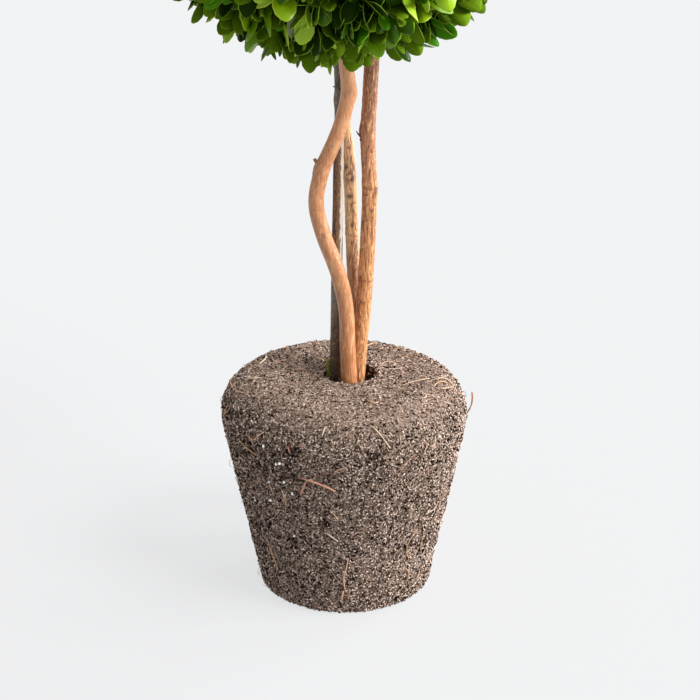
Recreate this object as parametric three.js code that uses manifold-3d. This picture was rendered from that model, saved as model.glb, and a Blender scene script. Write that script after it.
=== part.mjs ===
// A standard ("lollipop") topiary: a clipped ball of small evergreen leaves carried on four bare
// stems, one of them bowed, that stand in the hollow on top of a moulded, tapering root ball.
// Units are millimetres and +Z is up. The origin is the middle of the root ball's flat underside,
// and -Y is the side that the bowed stem faces.
import * as THREE from "three";
import { mergeVertices } from "three/addons/utils/BufferGeometryUtils.js";
import Module from "manifold-3d";

const wasm = await Module();
wasm.setup();

// ---- Driving dimensions ----------------------------------------------------------------------

const CLEARANCE = 0.3; // gap kept between pieces that are seated in each other

const ROOT_BALL = {
  height: 136.5,
  baseRadius: 53,
  baseEdge: 4.5, // rounding where the side meets the underside
  shoulderRadius: 74.4, // widest radius
  shoulderEdge: 23, // rounding between the side and the top
  lean: -0.8, // how far the top has shifted in X
  lump: 0.9, // height of the uneven places on the moulded side
  sides: 48,
};

// The hollow in the top, in which the stems stand.
const HOLLOW = { x: 1.8, y: 2, mouthRadius: 18.2, floorRadius: 17, depth: 12 };

const CROWN = {
  centre: new THREE.Vector3(-3.5, 0, 443.5),
  radius: 116.5, // to the leaf tips
  coreRadius: 98,
  coreDetail: 3, // subdivisions of the icosahedron
  sprigs: 88,
  openings: [77, 66, 54], // degrees between a twig and each of its pairs of leaves, from the lowest
  openingSpread: 5, // degrees by which a leaf strays from its pair
  scatter: 0.045, // how far a sprig strays from even spacing, as a share of the radius
  stemGap: 1.5, // no leaf or twig comes nearer to a stem than this
  shortestEdge: 0.02, // slivers smaller than this are closed up
  seed: 5,
};

const LEAF = {
  length: 25.5,
  width: 14.5,
  thickness: 1.1,
  lengthSpread: 0.16, // share by which leaves differ in length
  cup: 1.6, // how far the middle of the blade is arched out of the plane of its rim
};

const TWIG = { sides: 3, footRadius: 2.2, tipRadius: 1.8, sunk: 4, height: 5.4, leafSeat: 0.6 };

const STEM = {
  sides: 11,
  ringPitch: 7, // height between rings
  footZ: ROOT_BALL.height - HOLLOW.depth + CLEARANCE,
  topZ: 372, // blind ends of the stems, inside the crown's core
  barkRelief: 0.14,
};

// Each stem is [height, x, y] down its middle line, with its radius at the foot, half way and tip.
// A knob is a swelling or cut twig on the bark: [height, direction in degrees, how far it stands].
const STEMS = {
  stem_bowed: {
    radii: [4.9, 4.5, 4.1],
    route: [
      [STEM.footZ, 3.0, -6.2],
      [154, 1.6, -5.4],
      [180, 0.6, -5],
      [202, -4.0, -5],
      [229, -13.4, -5],
      [246, -16.7, -5],
      [264, -13.6, -5],
      [292, -2.6, -5],
      [312, 1.9, -5],
      [330, 0.6, -5],
      [STEM.topZ, -1.5, -8],
    ],
    knobs: [
      [268, 172, 1.8],
      [311, 8, 1.2],
      [226, 250, 0.8],
    ],
    color: 0xbd8257,
    roughness: 0.62,
  },
  stem_right: {
    radii: [4.5, 4.45, 4.2],
    route: [
      [STEM.footZ, 6.9, 4.2],
      [157, 9.2, 3.4],
      [183, 11.4, 3],
      [233, 14.1, 3],
      [251, 14.5, 3],
      [285, 13.4, 3],
      [310, 14.6, 3],
      [STEM.topZ, 17.5, 2],
    ],
    knobs: [
      [289, 186, 1.6],
      [252, 330, 0.9],
      [198, 350, 0.5],
    ],
    color: 0xb0714b,
    roughness: 0.78,
  },
  stem_middle: {
    radii: [3.9, 3.8, 3.3],
    route: [
      [STEM.footZ, 5.6, 13.2],
      [173, 5.9, 12.2],
      [212, 4.4, 11.6],
      [255, 3.1, 11.6],
      [273, 1.7, 11.6],
      [292, -0.6, 11.6],
      [325, -1.0, 11.8],
      [STEM.topZ, 5, 15],
    ],
    knobs: [
      [258, 262, 0.8],
      [247, 285, 0.9],
    ],
    color: 0xa7764f,
    roughness: 0.8,
  },
  stem_slender: {
    radii: [3.6, 3.1, 2.9],
    route: [
      [STEM.footZ, -6.8, 5.2],
      [143, -5.8, 4.6],
      [182, -5.2, 4.2],
      [257, -3.9, 4],
      [325, -3.4, 4],
      [STEM.topZ, -9, 7],
    ],
    knobs: [[305, 182, 0.6]],
    color: 0x6b6257,
    roughness: 0.7,
  },
};

const COLORS = { rootBall: 0x5f5148, crown: 0x3f6b1c };

// ---- Shared tools ----------------------------------------------------------------------------

/** A repeatable random number source: mulberry32 from a whole-number seed. */
function randomFrom(seed) {
  let state = seed;
  return () => {
    state = (state + 0x6d2b79f5) | 0;
    let mixed = Math.imul(state ^ (state >>> 15), 1 | state);
    mixed = (mixed + Math.imul(mixed ^ (mixed >>> 7), 61 | mixed)) ^ mixed;
    return ((mixed ^ (mixed >>> 14)) >>> 0) / 4294967296;
  };
}

/** A closed surface from rings of equal length, listed from its low end to its high end. */
function skinRings(rings) {
  const around = rings[0].length;
  const vertices = rings.flat();
  const faces = [];
  for (let row = 0; row + 1 < rings.length; row++) {
    for (let k = 0; k < around; k++) {
      const next = (k + 1) % around;
      const [a, b] = [row * around + k, row * around + next];
      const [c, d] = [a + around, b + around];
      faces.push([a, b, d], [a, d, c]);
    }
  }
  const last = rings.length - 1;
  for (const [row, turn] of [[0, true], [last, false]]) {
    const middle = new THREE.Vector3();
    for (const point of rings[row]) middle.addScaledVector(point, 1 / around);
    const hub = vertices.push(middle) - 1;
    for (let k = 0; k < around; k++) {
      const [a, b] = [row * around + k, row * around + ((k + 1) % around)];
      faces.push(turn ? [hub, b, a] : [hub, a, b]);
    }
  }
  return solidFrom(vertices, faces);
}

/** A manifold-3d solid from points and triangles. */
function solidFrom(vertices, faces) {
  return new wasm.Manifold(
    new wasm.Mesh({
      numProp: 3,
      vertProperties: new Float32Array(vertices.flatMap((v) => v.toArray())),
      triVerts: new Uint32Array(faces.flat()),
    }),
  );
}

/** A manifold-3d solid from a closed three.js geometry. */
function solidFromGeometry(geometry) {
  const bare = geometry.index ? geometry.toNonIndexed() : geometry.clone();
  bare.deleteAttribute("normal");
  bare.deleteAttribute("uv");
  const merged = mergeVertices(bare, 1e-4);
  return new wasm.Manifold(
    new wasm.Mesh({
      numProp: 3,
      vertProperties: merged.attributes.position.array,
      triVerts: new Uint32Array(merged.index.array),
    }),
  );
}

/** A named mesh from a manifold-3d solid. */
function meshOf(name, solid, color, roughness) {
  const { vertProperties, triVerts } = solid.getMesh();
  const geometry = new THREE.BufferGeometry();
  geometry.setAttribute("position", new THREE.BufferAttribute(vertProperties, 3));
  geometry.setIndex(new THREE.BufferAttribute(triVerts, 1));
  geometry.computeVertexNormals();
  const material = new THREE.MeshStandardMaterial({ color, roughness, metalness: 0 });
  const mesh = new THREE.Mesh(geometry, material);
  mesh.name = name;
  return mesh;
}

/** The largest connected body of a solid: cuts can leave loose scraps behind. */
function largestBody(solid) {
  return solid.decompose().reduce((best, body) => (body.volume() > best.volume() ? body : best));
}

// ---- Stems -----------------------------------------------------------------------------------

/** The middle line of a stem at height z, as { x, y, dx, dy }: its place and its slope. */
function middleLine(stem, z) {
  const curve = stem.curve ?? new THREE.CatmullRomCurve3(
    stem.route.map(([height, x, y]) => new THREE.Vector3(x, y, height)),
    false,
    "centripetal",
  );
  stem.curve = curve;
  let [low, high] = [0, 1];
  for (let step = 0; step < 30; step++) {
    const middle = (low + high) / 2;
    if (curve.getPoint(middle).z < z) low = middle;
    else high = middle;
  }
  const at = curve.getPoint(low);
  const slope = curve.getTangent(low);
  return { x: at.x, y: at.y, dx: slope.x / slope.z, dy: slope.y / slope.z };
}

/** The smooth radius of a stem at height z: foot, half way and tip joined by a parabola. */
function stemRadius(stem, z) {
  const t = (z - STEM.footZ) / (STEM.topZ - STEM.footZ);
  const [foot, half, tip] = stem.radii;
  return foot * (1 - t) * (1 - 2 * t) + 4 * half * t * (1 - t) + tip * t * (2 * t - 1);
}

/** How far the bark stands off the smooth radius: long ridges, node rings and the knobs. */
function barkAt(stem, z, angle, phase) {
  let off = STEM.barkRelief * Math.sin(3 * angle + z / 23 + phase);
  off += STEM.barkRelief * 0.8 * Math.sin(z / 9.5 + phase * 2);
  for (const [height, degrees, stand] of stem.knobs) {
    const turned = angle - THREE.MathUtils.degToRad(degrees);
    const aside = Math.acos(Math.cos(turned)) / 0.5;
    const along = (z - height) / 4.2;
    off += stand * Math.exp(-aside * aside - along * along);
  }
  return off;
}

/**
 * A stem as level rings up its middle line. A ring is the stem's round section seen along its own
 * slope, so a leaning stem keeps its thickness. With grow it is the same stem, thicker by grow
 * and without bark, as a cutter for its socket.
 */
function stemSolid(stem, phase, grow = 0) {
  const span = STEM.topZ - STEM.footZ;
  const count = Math.round(span / STEM.ringPitch);
  const rings = [];
  for (let row = 0; row <= count; row++) {
    const z = STEM.footZ + (span * row) / count;
    const { x, y, dx, dy } = middleLine(stem, z);
    const ring = [];
    for (let k = 0; k < STEM.sides; k++) {
      const angle = (2 * Math.PI * k) / STEM.sides;
      const [c, s] = [Math.cos(angle), Math.sin(angle)];
      const radius = stemRadius(stem, z) + (grow || barkAt(stem, z, angle, phase));
      const along = (c * dx + s * dy) * radius;
      const stretch = along / (1 + Math.hypot(1, dx, dy));
      const level = z + (grow && row === count ? grow : 0);
      ring.push(new THREE.Vector3(
        x + radius * c + dx * stretch,
        y + radius * s + dy * stretch,
        level,
      ));
    }
    rings.push(ring);
  }
  return skinRings(rings);
}

/** The least distance from a point to the bark of any stem. */
function distanceToStems(point) {
  let least = Infinity;
  for (const stem of Object.values(STEMS)) {
    const z = THREE.MathUtils.clamp(point.z, STEM.footZ, STEM.topZ);
    const { x, y } = middleLine(stem, z);
    const away = Math.hypot(point.x - x, point.y - y, point.z - z) - stemRadius(stem, z);
    least = Math.min(least, away);
  }
  return least;
}

// ---- Root ball -------------------------------------------------------------------------------

/** The root ball's outline from the middle of its underside to the middle of the hollow's floor. */
function rootBallOutline() {
  const { height, baseRadius, baseEdge, shoulderRadius, shoulderEdge } = ROOT_BALL;
  const taper = Math.atan2(shoulderRadius - baseRadius, height);
  const outline = [[baseRadius * 0.5, 0], [baseRadius - baseEdge, 0]];
  const arc = (centreR, centreZ, radius, from, to, steps) => {
    for (let k = 0; k <= steps; k++) {
      const angle = from + ((to - from) * k) / steps;
      outline.push([centreR + radius * Math.cos(angle), centreZ + radius * Math.sin(angle)]);
    }
  };
  arc(baseRadius - baseEdge, baseEdge, baseEdge, -Math.PI / 3, -taper, 1);
  const sideSteps = 6;
  const [lowR, lowZ] = outline.at(-1);
  const shoulder = [shoulderRadius - shoulderEdge, height - shoulderEdge];
  const highR = shoulder[0] + shoulderEdge * Math.cos(taper);
  const highZ = shoulder[1] - shoulderEdge * Math.sin(taper);
  for (let k = 1; k < sideSteps; k++) {
    const t = k / sideSteps;
    outline.push([lowR + (highR - lowR) * t, lowZ + (highZ - lowZ) * t]);
  }
  arc(...shoulder, shoulderEdge, -taper, Math.PI / 2, 5);
  outline.push([(shoulder[0] + HOLLOW.mouthRadius) / 2, height - 0.4]);
  outline.push([HOLLOW.mouthRadius, height - 0.6]);
  outline.push([HOLLOW.floorRadius, height - HOLLOW.depth]);
  return outline;
}

/** The root ball, turned from its outline, leaning a little and uneven where it was moulded. */
function rootBallSolid() {
  const rings = rootBallOutline().map(([radius, z], row, all) => {
    const share = z / ROOT_BALL.height;
    const inner = row >= all.length - 2; // the hollow's mouth and floor
    const ring = [];
    for (let k = 0; k < ROOT_BALL.sides; k++) {
      const angle = (2 * Math.PI * k) / ROOT_BALL.sides;
      const wave = Math.sin(3 * angle + 4.4 * share) + 0.7 * Math.sin(5 * angle - 7 * share + 1);
      const uneven = z > 0 && !inner ? ROOT_BALL.lump * wave * Math.sin(Math.PI * share) : 0;
      const [middleX, middleY] = inner ? [HOLLOW.x, HOLLOW.y] : [ROOT_BALL.lean * share, 0];
      const reach = radius + uneven;
      ring.push(new THREE.Vector3(
        middleX + reach * Math.cos(angle),
        middleY + reach * Math.sin(angle),
        z,
      ));
    }
    return ring;
  });
  return skinRings(rings);
}

// ---- Crown -----------------------------------------------------------------------------------

/** A unit vector's own pair of side vectors, turned by spin about it. */
function sidesOf(direction, spin) {
  const helper = Math.abs(direction.z) < 0.9 ? new THREE.Vector3(0, 0, 1) : new THREE.Vector3(1, 0, 0);
  const across = new THREE.Vector3().crossVectors(helper, direction).normalize();
  across.applyAxisAngle(direction, spin);
  return [across, new THREE.Vector3().crossVectors(direction, across)];
}

/**
 * A leaf of ten faces: a blunt egg-shaped rim of five corners, broadest past the middle, with the
 * blade's middle raised on one side and hollowed on the other by the cup.
 */
function leafSolid(root, along, face, length, width) {
  const across = new THREE.Vector3().crossVectors(face, along).normalize();
  const up = new THREE.Vector3().crossVectors(along, across);
  const place = (u, v, w) => root.clone()
    .addScaledVector(along, u * length)
    .addScaledVector(across, v * width)
    .addScaledVector(up, w);
  const rim = [[0, 0], [0.6, -0.5], [0.97, -0.22], [0.97, 0.22], [0.6, 0.5]];
  const vertices = rim.map(([u, v]) => place(u, v, 0));
  const top = vertices.push(place(0.55, 0, LEAF.cup + LEAF.thickness)) - 1;
  const under = vertices.push(place(0.55, 0, LEAF.cup)) - 1;
  const faces = [];
  for (let k = 0; k < rim.length; k++) {
    const next = (k + 1) % rim.length;
    faces.push([k, next, top], [next, k, under]);
  }
  return { solid: solidFrom(vertices, faces), vertices };
}

/** A three-sided twig that narrows from its foot to its tip. */
function twigSolid(foot, tip) {
  const direction = tip.clone().sub(foot).normalize();
  const [across, up] = sidesOf(direction, 0);
  const ringAt = (middle, radius) => Array.from({ length: TWIG.sides }, (_, k) => {
    const angle = (2 * Math.PI * k) / TWIG.sides;
    return middle.clone()
      .addScaledVector(across, radius * Math.cos(angle))
      .addScaledVector(up, radius * Math.sin(angle));
  });
  return skinRings([ringAt(foot, TWIG.footRadius), ringAt(tip, TWIG.tipRadius)]);
}

/** True if every point lies inside the crown's sphere and clear of the stems. */
function inCrownSpace(points) {
  return points.every((p) =>
    p.distanceTo(CROWN.centre) <= CROWN.radius && distanceToStems(p) >= CROWN.stemGap);
}

/**
 * One sprig: a twig that grows straight out of the core, and pairs of leaves that open from it,
 * each pair turned a quarter from the last. The lowest pair opens wide over the core and the last
 * pair stands up to the clipped surface.
 */
function sprigSolids(normal, random) {
  const foot = CROWN.centre.clone().addScaledVector(normal, CROWN.coreRadius - TWIG.sunk);
  const tip = foot.clone().addScaledVector(normal, TWIG.sunk + TWIG.height);
  if (!inCrownSpace([foot, tip])) return [];
  const made = [twigSolid(foot, tip)];
  const spin = random() * Math.PI;
  for (const [pair, pairOpening] of CROWN.openings.entries()) {
    const height = TWIG.sunk + (TWIG.height * (pair + 0.25)) / CROWN.openings.length;
    const [across] = sidesOf(normal, spin + (pair * Math.PI) / 2);
    for (const side of [1, -1]) {
      const strayed = pairOpening + CROWN.openingSpread * (2 * random() - 1);
      const opening = THREE.MathUtils.degToRad(strayed);
      const sideways = across.clone().multiplyScalar(side);
      const root = foot.clone()
        .addScaledVector(normal, height)
        .addScaledVector(sideways, TWIG.leafSeat);
      const along = normal.clone().multiplyScalar(Math.cos(opening))
        .addScaledVector(sideways, Math.sin(opening));
      const scale = 1 + LEAF.lengthSpread * (2 * random() - 1);
      const leaf = leafSolid(root, along, normal, LEAF.length * scale, LEAF.width * scale);
      if (inCrownSpace(leaf.vertices.slice(1))) made.push(leaf.solid);
    }
  }
  return made;
}

/** Evenly spread directions over a sphere, by the golden angle, each shifted a little. */
function spreadDirections(count, random) {
  const golden = Math.PI * (3 - Math.sqrt(5));
  return Array.from({ length: count }, (_, k) => {
    const z = 1 - (2 * k + 1) / count;
    const flat = Math.sqrt(1 - z * z);
    const angle = golden * k;
    const direction = new THREE.Vector3(flat * Math.cos(angle), flat * Math.sin(angle), z);
    const stray = () => CROWN.scatter * (2 * random() - 1);
    return direction.add(new THREE.Vector3(stray(), stray(), stray())).normalize();
  });
}

/** The clipped ball: a core with sprigs fused on, and a blind socket for each stem. */
function crownSolid() {
  const random = randomFrom(CROWN.seed);
  const ball = new THREE.IcosahedronGeometry(CROWN.coreRadius, CROWN.coreDetail);
  ball.translate(...CROWN.centre.toArray());
  const solids = [solidFromGeometry(ball)];
  for (const normal of spreadDirections(CROWN.sprigs, random)) {
    solids.push(...sprigSolids(normal, random));
  }
  const grown = wasm.Manifold.union(solids);
  const sockets = Object.values(STEMS).map((stem) => stemSolid(stem, 0, STEM.barkRelief * 2 + CLEARANCE));
  const cut = grown.subtract(wasm.Manifold.union(sockets));
  return largestBody(cut).simplify(CROWN.shortestEdge);
}

// ---- Assembly --------------------------------------------------------------------------------

const topiary = new THREE.Group();
topiary.add(meshOf("root_ball", rootBallSolid(), COLORS.rootBall, 0.95));
for (const [index, [name, stem]] of Object.entries(STEMS).entries()) {
  topiary.add(meshOf(name, stemSolid(stem, 1 + 2 * index), stem.color, stem.roughness));
}
topiary.add(meshOf("crown", crownSolid(), COLORS.crown, 0.5));

export default topiary;
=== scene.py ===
"""A clipped ball topiary on four bare stems and a moulded peat root ball, dressed for a studio.

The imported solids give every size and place. This script puts a finer piece over each of them:
leafy sprigs for the crown, barked stems, and a fibrous root ball with its loose strands. Lengths
inside the classes are in millimetres, and meshes are in metres. Noise layers are given as (seed,
wavelength, depth), and random numbers are seeded, so that every run gives the same plant.
"""

from __future__ import annotations

import logging
import math
from dataclasses import dataclass, field
from enum import Enum
from functools import cached_property

import bpy
import numpy as np
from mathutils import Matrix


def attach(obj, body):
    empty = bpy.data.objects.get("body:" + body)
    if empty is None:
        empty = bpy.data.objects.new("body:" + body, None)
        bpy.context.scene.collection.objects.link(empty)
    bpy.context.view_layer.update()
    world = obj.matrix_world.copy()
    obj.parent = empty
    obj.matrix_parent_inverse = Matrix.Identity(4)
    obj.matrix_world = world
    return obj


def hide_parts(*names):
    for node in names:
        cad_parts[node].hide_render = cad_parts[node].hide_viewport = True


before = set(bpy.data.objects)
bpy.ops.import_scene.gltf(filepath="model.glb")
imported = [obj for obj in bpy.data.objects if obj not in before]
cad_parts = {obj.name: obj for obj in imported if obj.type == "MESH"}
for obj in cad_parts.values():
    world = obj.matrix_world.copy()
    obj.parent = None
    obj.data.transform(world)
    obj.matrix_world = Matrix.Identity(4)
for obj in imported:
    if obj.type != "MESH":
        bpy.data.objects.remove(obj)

LOG = logging.getLogger("topiary")
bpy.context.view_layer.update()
MM = 0.001
BODY = "root"

Array = np.ndarray
Rng = np.random.Generator
Material = bpy.types.Material
Socket = bpy.types.NodeSocket
Pair = tuple[float, float]
Triple = tuple[float, float, float]
Color = Triple
Layer = tuple[int, float, float]


# ---- Shapes ----------------------------------------------------------------------------------


def placed(name: str, data: bpy.types.ID) -> bpy.types.Object:
    """A new object, put into the scene.

    Args:
        name: The object's name.
        data: The mesh, light or camera that it holds.

    Returns:
        The object, at the origin.
    """
    made = bpy.data.objects.new(name, data)
    bpy.context.scene.collection.objects.link(made)
    return made


@dataclass
class Shape:
    """Points in millimetres, groups of faces with equal corner counts, and a tone for each face."""

    points: Array
    faces: list[Array]
    tones: list[Array] = field(default_factory=list)

    def __post_init__(self) -> None:
        """Gives every face tone 0 where no tones were stated."""
        if not self.tones:
            self.tones = [np.zeros(len(group), int) for group in self.faces]

    @staticmethod
    def joined(shapes: list[Shape]) -> Shape:
        """Several shapes as one.

        Args:
            shapes: The shapes to put together; they stay separate shells.

        Returns:
            One shape with all their points and faces.
        """
        offsets = np.cumsum([0] + [len(shape.points) for shape in shapes])
        faces = [group + start for shape, start in zip(shapes, offsets) for group in shape.faces]
        tones = [tone for shape in shapes for tone in shape.tones]
        return Shape(np.concatenate([shape.points for shape in shapes]), faces, tones)

    def piece(
        self,
        name: str,
        materials: list[Material],
        slot: str,
        nodes: tuple[str, ...] = (),
        marks: dict[str, Array] | None = None,
    ) -> None:
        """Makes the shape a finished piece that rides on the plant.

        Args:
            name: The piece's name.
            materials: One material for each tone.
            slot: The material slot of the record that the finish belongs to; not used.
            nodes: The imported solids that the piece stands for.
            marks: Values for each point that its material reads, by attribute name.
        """
        mesh = bpy.data.meshes.new(name)
        counts = np.concatenate([np.full(len(group), group.shape[1]) for group in self.faces])
        corners = np.concatenate([group.reshape(-1) for group in self.faces])
        starts = np.concatenate([[0], np.cumsum(counts)[:-1]])
        mesh.vertices.add(len(self.points))
        mesh.vertices.foreach_set("co", (self.points * MM).astype(np.float32).reshape(-1))
        mesh.loops.add(len(corners))
        mesh.loops.foreach_set("vertex_index", corners.astype(np.int32))
        mesh.polygons.add(len(counts))
        mesh.polygons.foreach_set("loop_start", starts.astype(np.int32))
        mesh.polygons.foreach_set("material_index", np.concatenate(self.tones).astype(np.int32))
        mesh.polygons.foreach_set("use_smooth", np.ones(len(counts), bool))
        mesh.update(calc_edges=True)
        for key, values in (marks or {}).items():
            mark = mesh.attributes.new(key, "FLOAT", "POINT")
            mark.data.foreach_set("value", values.astype(np.float32).reshape(-1))
        for material in materials:
            mesh.materials.append(material)
        made = placed(name, mesh)
        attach(made, BODY)
        if nodes:
            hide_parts(*nodes)
        triangles = int((counts - 2).sum())
        LOG.info("%s: %d points, %d triangles", name, len(self.points), triangles)


def ring_quads(rows: int, around: int) -> Array:
    """Quads between neighbouring closed rings, facing away from the axis.

    Args:
        rows: How many rings there are, listed from low to high.
        around: How many points each ring has, listed anticlockwise from above.

    Returns:
        Corner numbers, four for each quad.
    """
    row, turn = np.meshgrid(np.arange(rows - 1), np.arange(around), indexing="ij")
    after = (turn + 1) % around
    low, high = row * around, (row + 1) * around
    return np.stack([low + turn, low + after, high + after, high + turn], -1).reshape(-1, 4)


def closed_rings(rings: Array) -> Shape:
    """A closed surface from rings, with a fan of triangles at each end.

    Args:
        rings: Points as [row, point around, xyz], from the low end to the high end.

    Returns:
        The surface; its last two points are the middles of its ends.
    """
    rows, around = rings.shape[:2]
    middles = np.stack([rings[0].mean(0), rings[-1].mean(0)])
    points = np.concatenate([rings.reshape(-1, 3), middles])
    turn = np.arange(around)
    after = (turn + 1) % around
    low_hub, high_hub = rows * around, rows * around + 1
    top = (rows - 1) * around
    low_fan = np.stack([np.full(around, low_hub), after, turn], -1)
    high_fan = np.stack([np.full(around, high_hub), top + turn, top + after], -1)
    return Shape(points, [ring_quads(rows, around), np.concatenate([low_fan, high_fan])])


def capped(points: Array, walls: Array, ends: Array, clockwise: bool = False) -> Shape:
    """Many closed shells at once, each a stack of rings with a flat face at both ends.

    Args:
        points: Points as [shell, ring, point around, xyz].
        walls: Tones of the quads between the rings, in order.
        ends: One tone for the two ends of each shell.
        clockwise: Whether a ring's points run clockwise as seen from beyond the last ring.

    Returns:
        All the shells in one shape.
    """
    count, rings, around = points.shape[:3]
    start = np.arange(count)[:, None, None] * rings * around
    first = np.arange(around)
    quads = ring_quads(rings, around)[None] + start
    caps = np.stack([first[::-1], first + (rings - 1) * around])[None] + start
    if clockwise:
        quads, caps = quads[..., ::-1], caps[..., ::-1]
    faces = [quads.reshape(-1, 4), caps.reshape(-1, around)]
    return Shape(points.reshape(-1, 3), faces, [walls.reshape(-1), np.repeat(ends, 2)])


def tubes(paths: Array, radii: Array, lean: Array, sides: int, tones: Array) -> Shape:
    """Many thin closed tubes at once, each a small polygon carried along its own path.

    A point is path + radius * (cos(a) * side + sin(a) * up), where side = tangent x lean.

    Args:
        paths: Points as [tube, step, xyz].
        radii: Radii as [tube, step].
        lean: One direction for each tube that its path never runs along.
        sides: How many sides each tube has.
        tones: One tone for each tube.

    Returns:
        All the tubes in one shape.
    """
    tangent = unit(np.gradient(paths, axis=1))
    side = unit(np.cross(tangent, lean[:, None, :]))
    up = np.cross(side, tangent)
    angle = full_turn(sides)[:, None]
    around = np.cos(angle) * side[:, :, None, :] + np.sin(angle) * up[:, :, None, :]
    points = paths[:, :, None, :] + radii[:, :, None, None] * around
    walls = np.repeat(tones, (paths.shape[1] - 1) * sides)
    return capped(points, walls, tones, clockwise=True)


def unit(vectors: Array) -> Array:
    """The vectors with their lengths made 1."""
    return vectors / np.maximum(np.linalg.norm(vectors, axis=-1, keepdims=True), 1e-12)


def full_turn(steps: int) -> Array:
    """Angles in radians, in even steps once round from 0."""
    return 2 * np.pi * np.arange(steps) / steps


def toward(rise: Array, turn: Array) -> Array:
    """Unit directions (cos r cos t, cos r sin t, sin r) for each rise r and turn t."""
    level = np.cos(rise)
    return np.stack([level * np.cos(turn), level * np.sin(turn), np.sin(rise) + 0 * turn], -1)


def read_off(places: Array, known: Array, table: Array) -> Array:
    """A table's columns at new places along straight lines between its known rows."""
    return np.column_stack([np.interp(places, known, column) for column in table.T])


def soft_step(values: Array, low: float, high: float) -> Array:
    """0 below low, 1 above high, and 3t^2 - 2t^3 in between."""
    share = np.clip((values - low) / (high - low), 0, 1)
    return share * share * (3 - 2 * share)


@dataclass(frozen=True)
class LatticeNoise:
    """Smooth random values in space: random numbers on a cubic lattice, blended in between."""

    seed: int
    size: int = 32
    shift: float = 1000.0

    def at(self, points: Array, wavelength: float | Triple) -> Array:
        """The noise at some points.

        Args:
            points: Places in millimetres, as [..., xyz].
            wavelength: Lattice spacing in millimetres, one or three numbers.

        Returns:
            Values from -1 to 1.
        """
        lattice = np.random.default_rng(self.seed).uniform(-1, 1, (self.size,) * 3)
        place = points / np.asarray(wavelength) + self.shift
        cell = np.floor(place).astype(int)
        share = soft_step(place - cell, 0, 1)
        total = np.zeros(points.shape[:-1])
        for corner in np.ndindex(2, 2, 2):
            index = (cell + corner) % self.size
            weight = np.where(corner, share, 1 - share).prod(-1)
            total += weight * lattice[index[..., 0], index[..., 1], index[..., 2]]
        return total


def layered(points: Array, layers: tuple[Layer, ...]) -> Array:
    """Depth * noise, added up over some layers."""
    return sum(depth * LatticeNoise(seed).at(points, wave) for seed, wave, depth in layers)


# ---- Finishes --------------------------------------------------------------------------------


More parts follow.
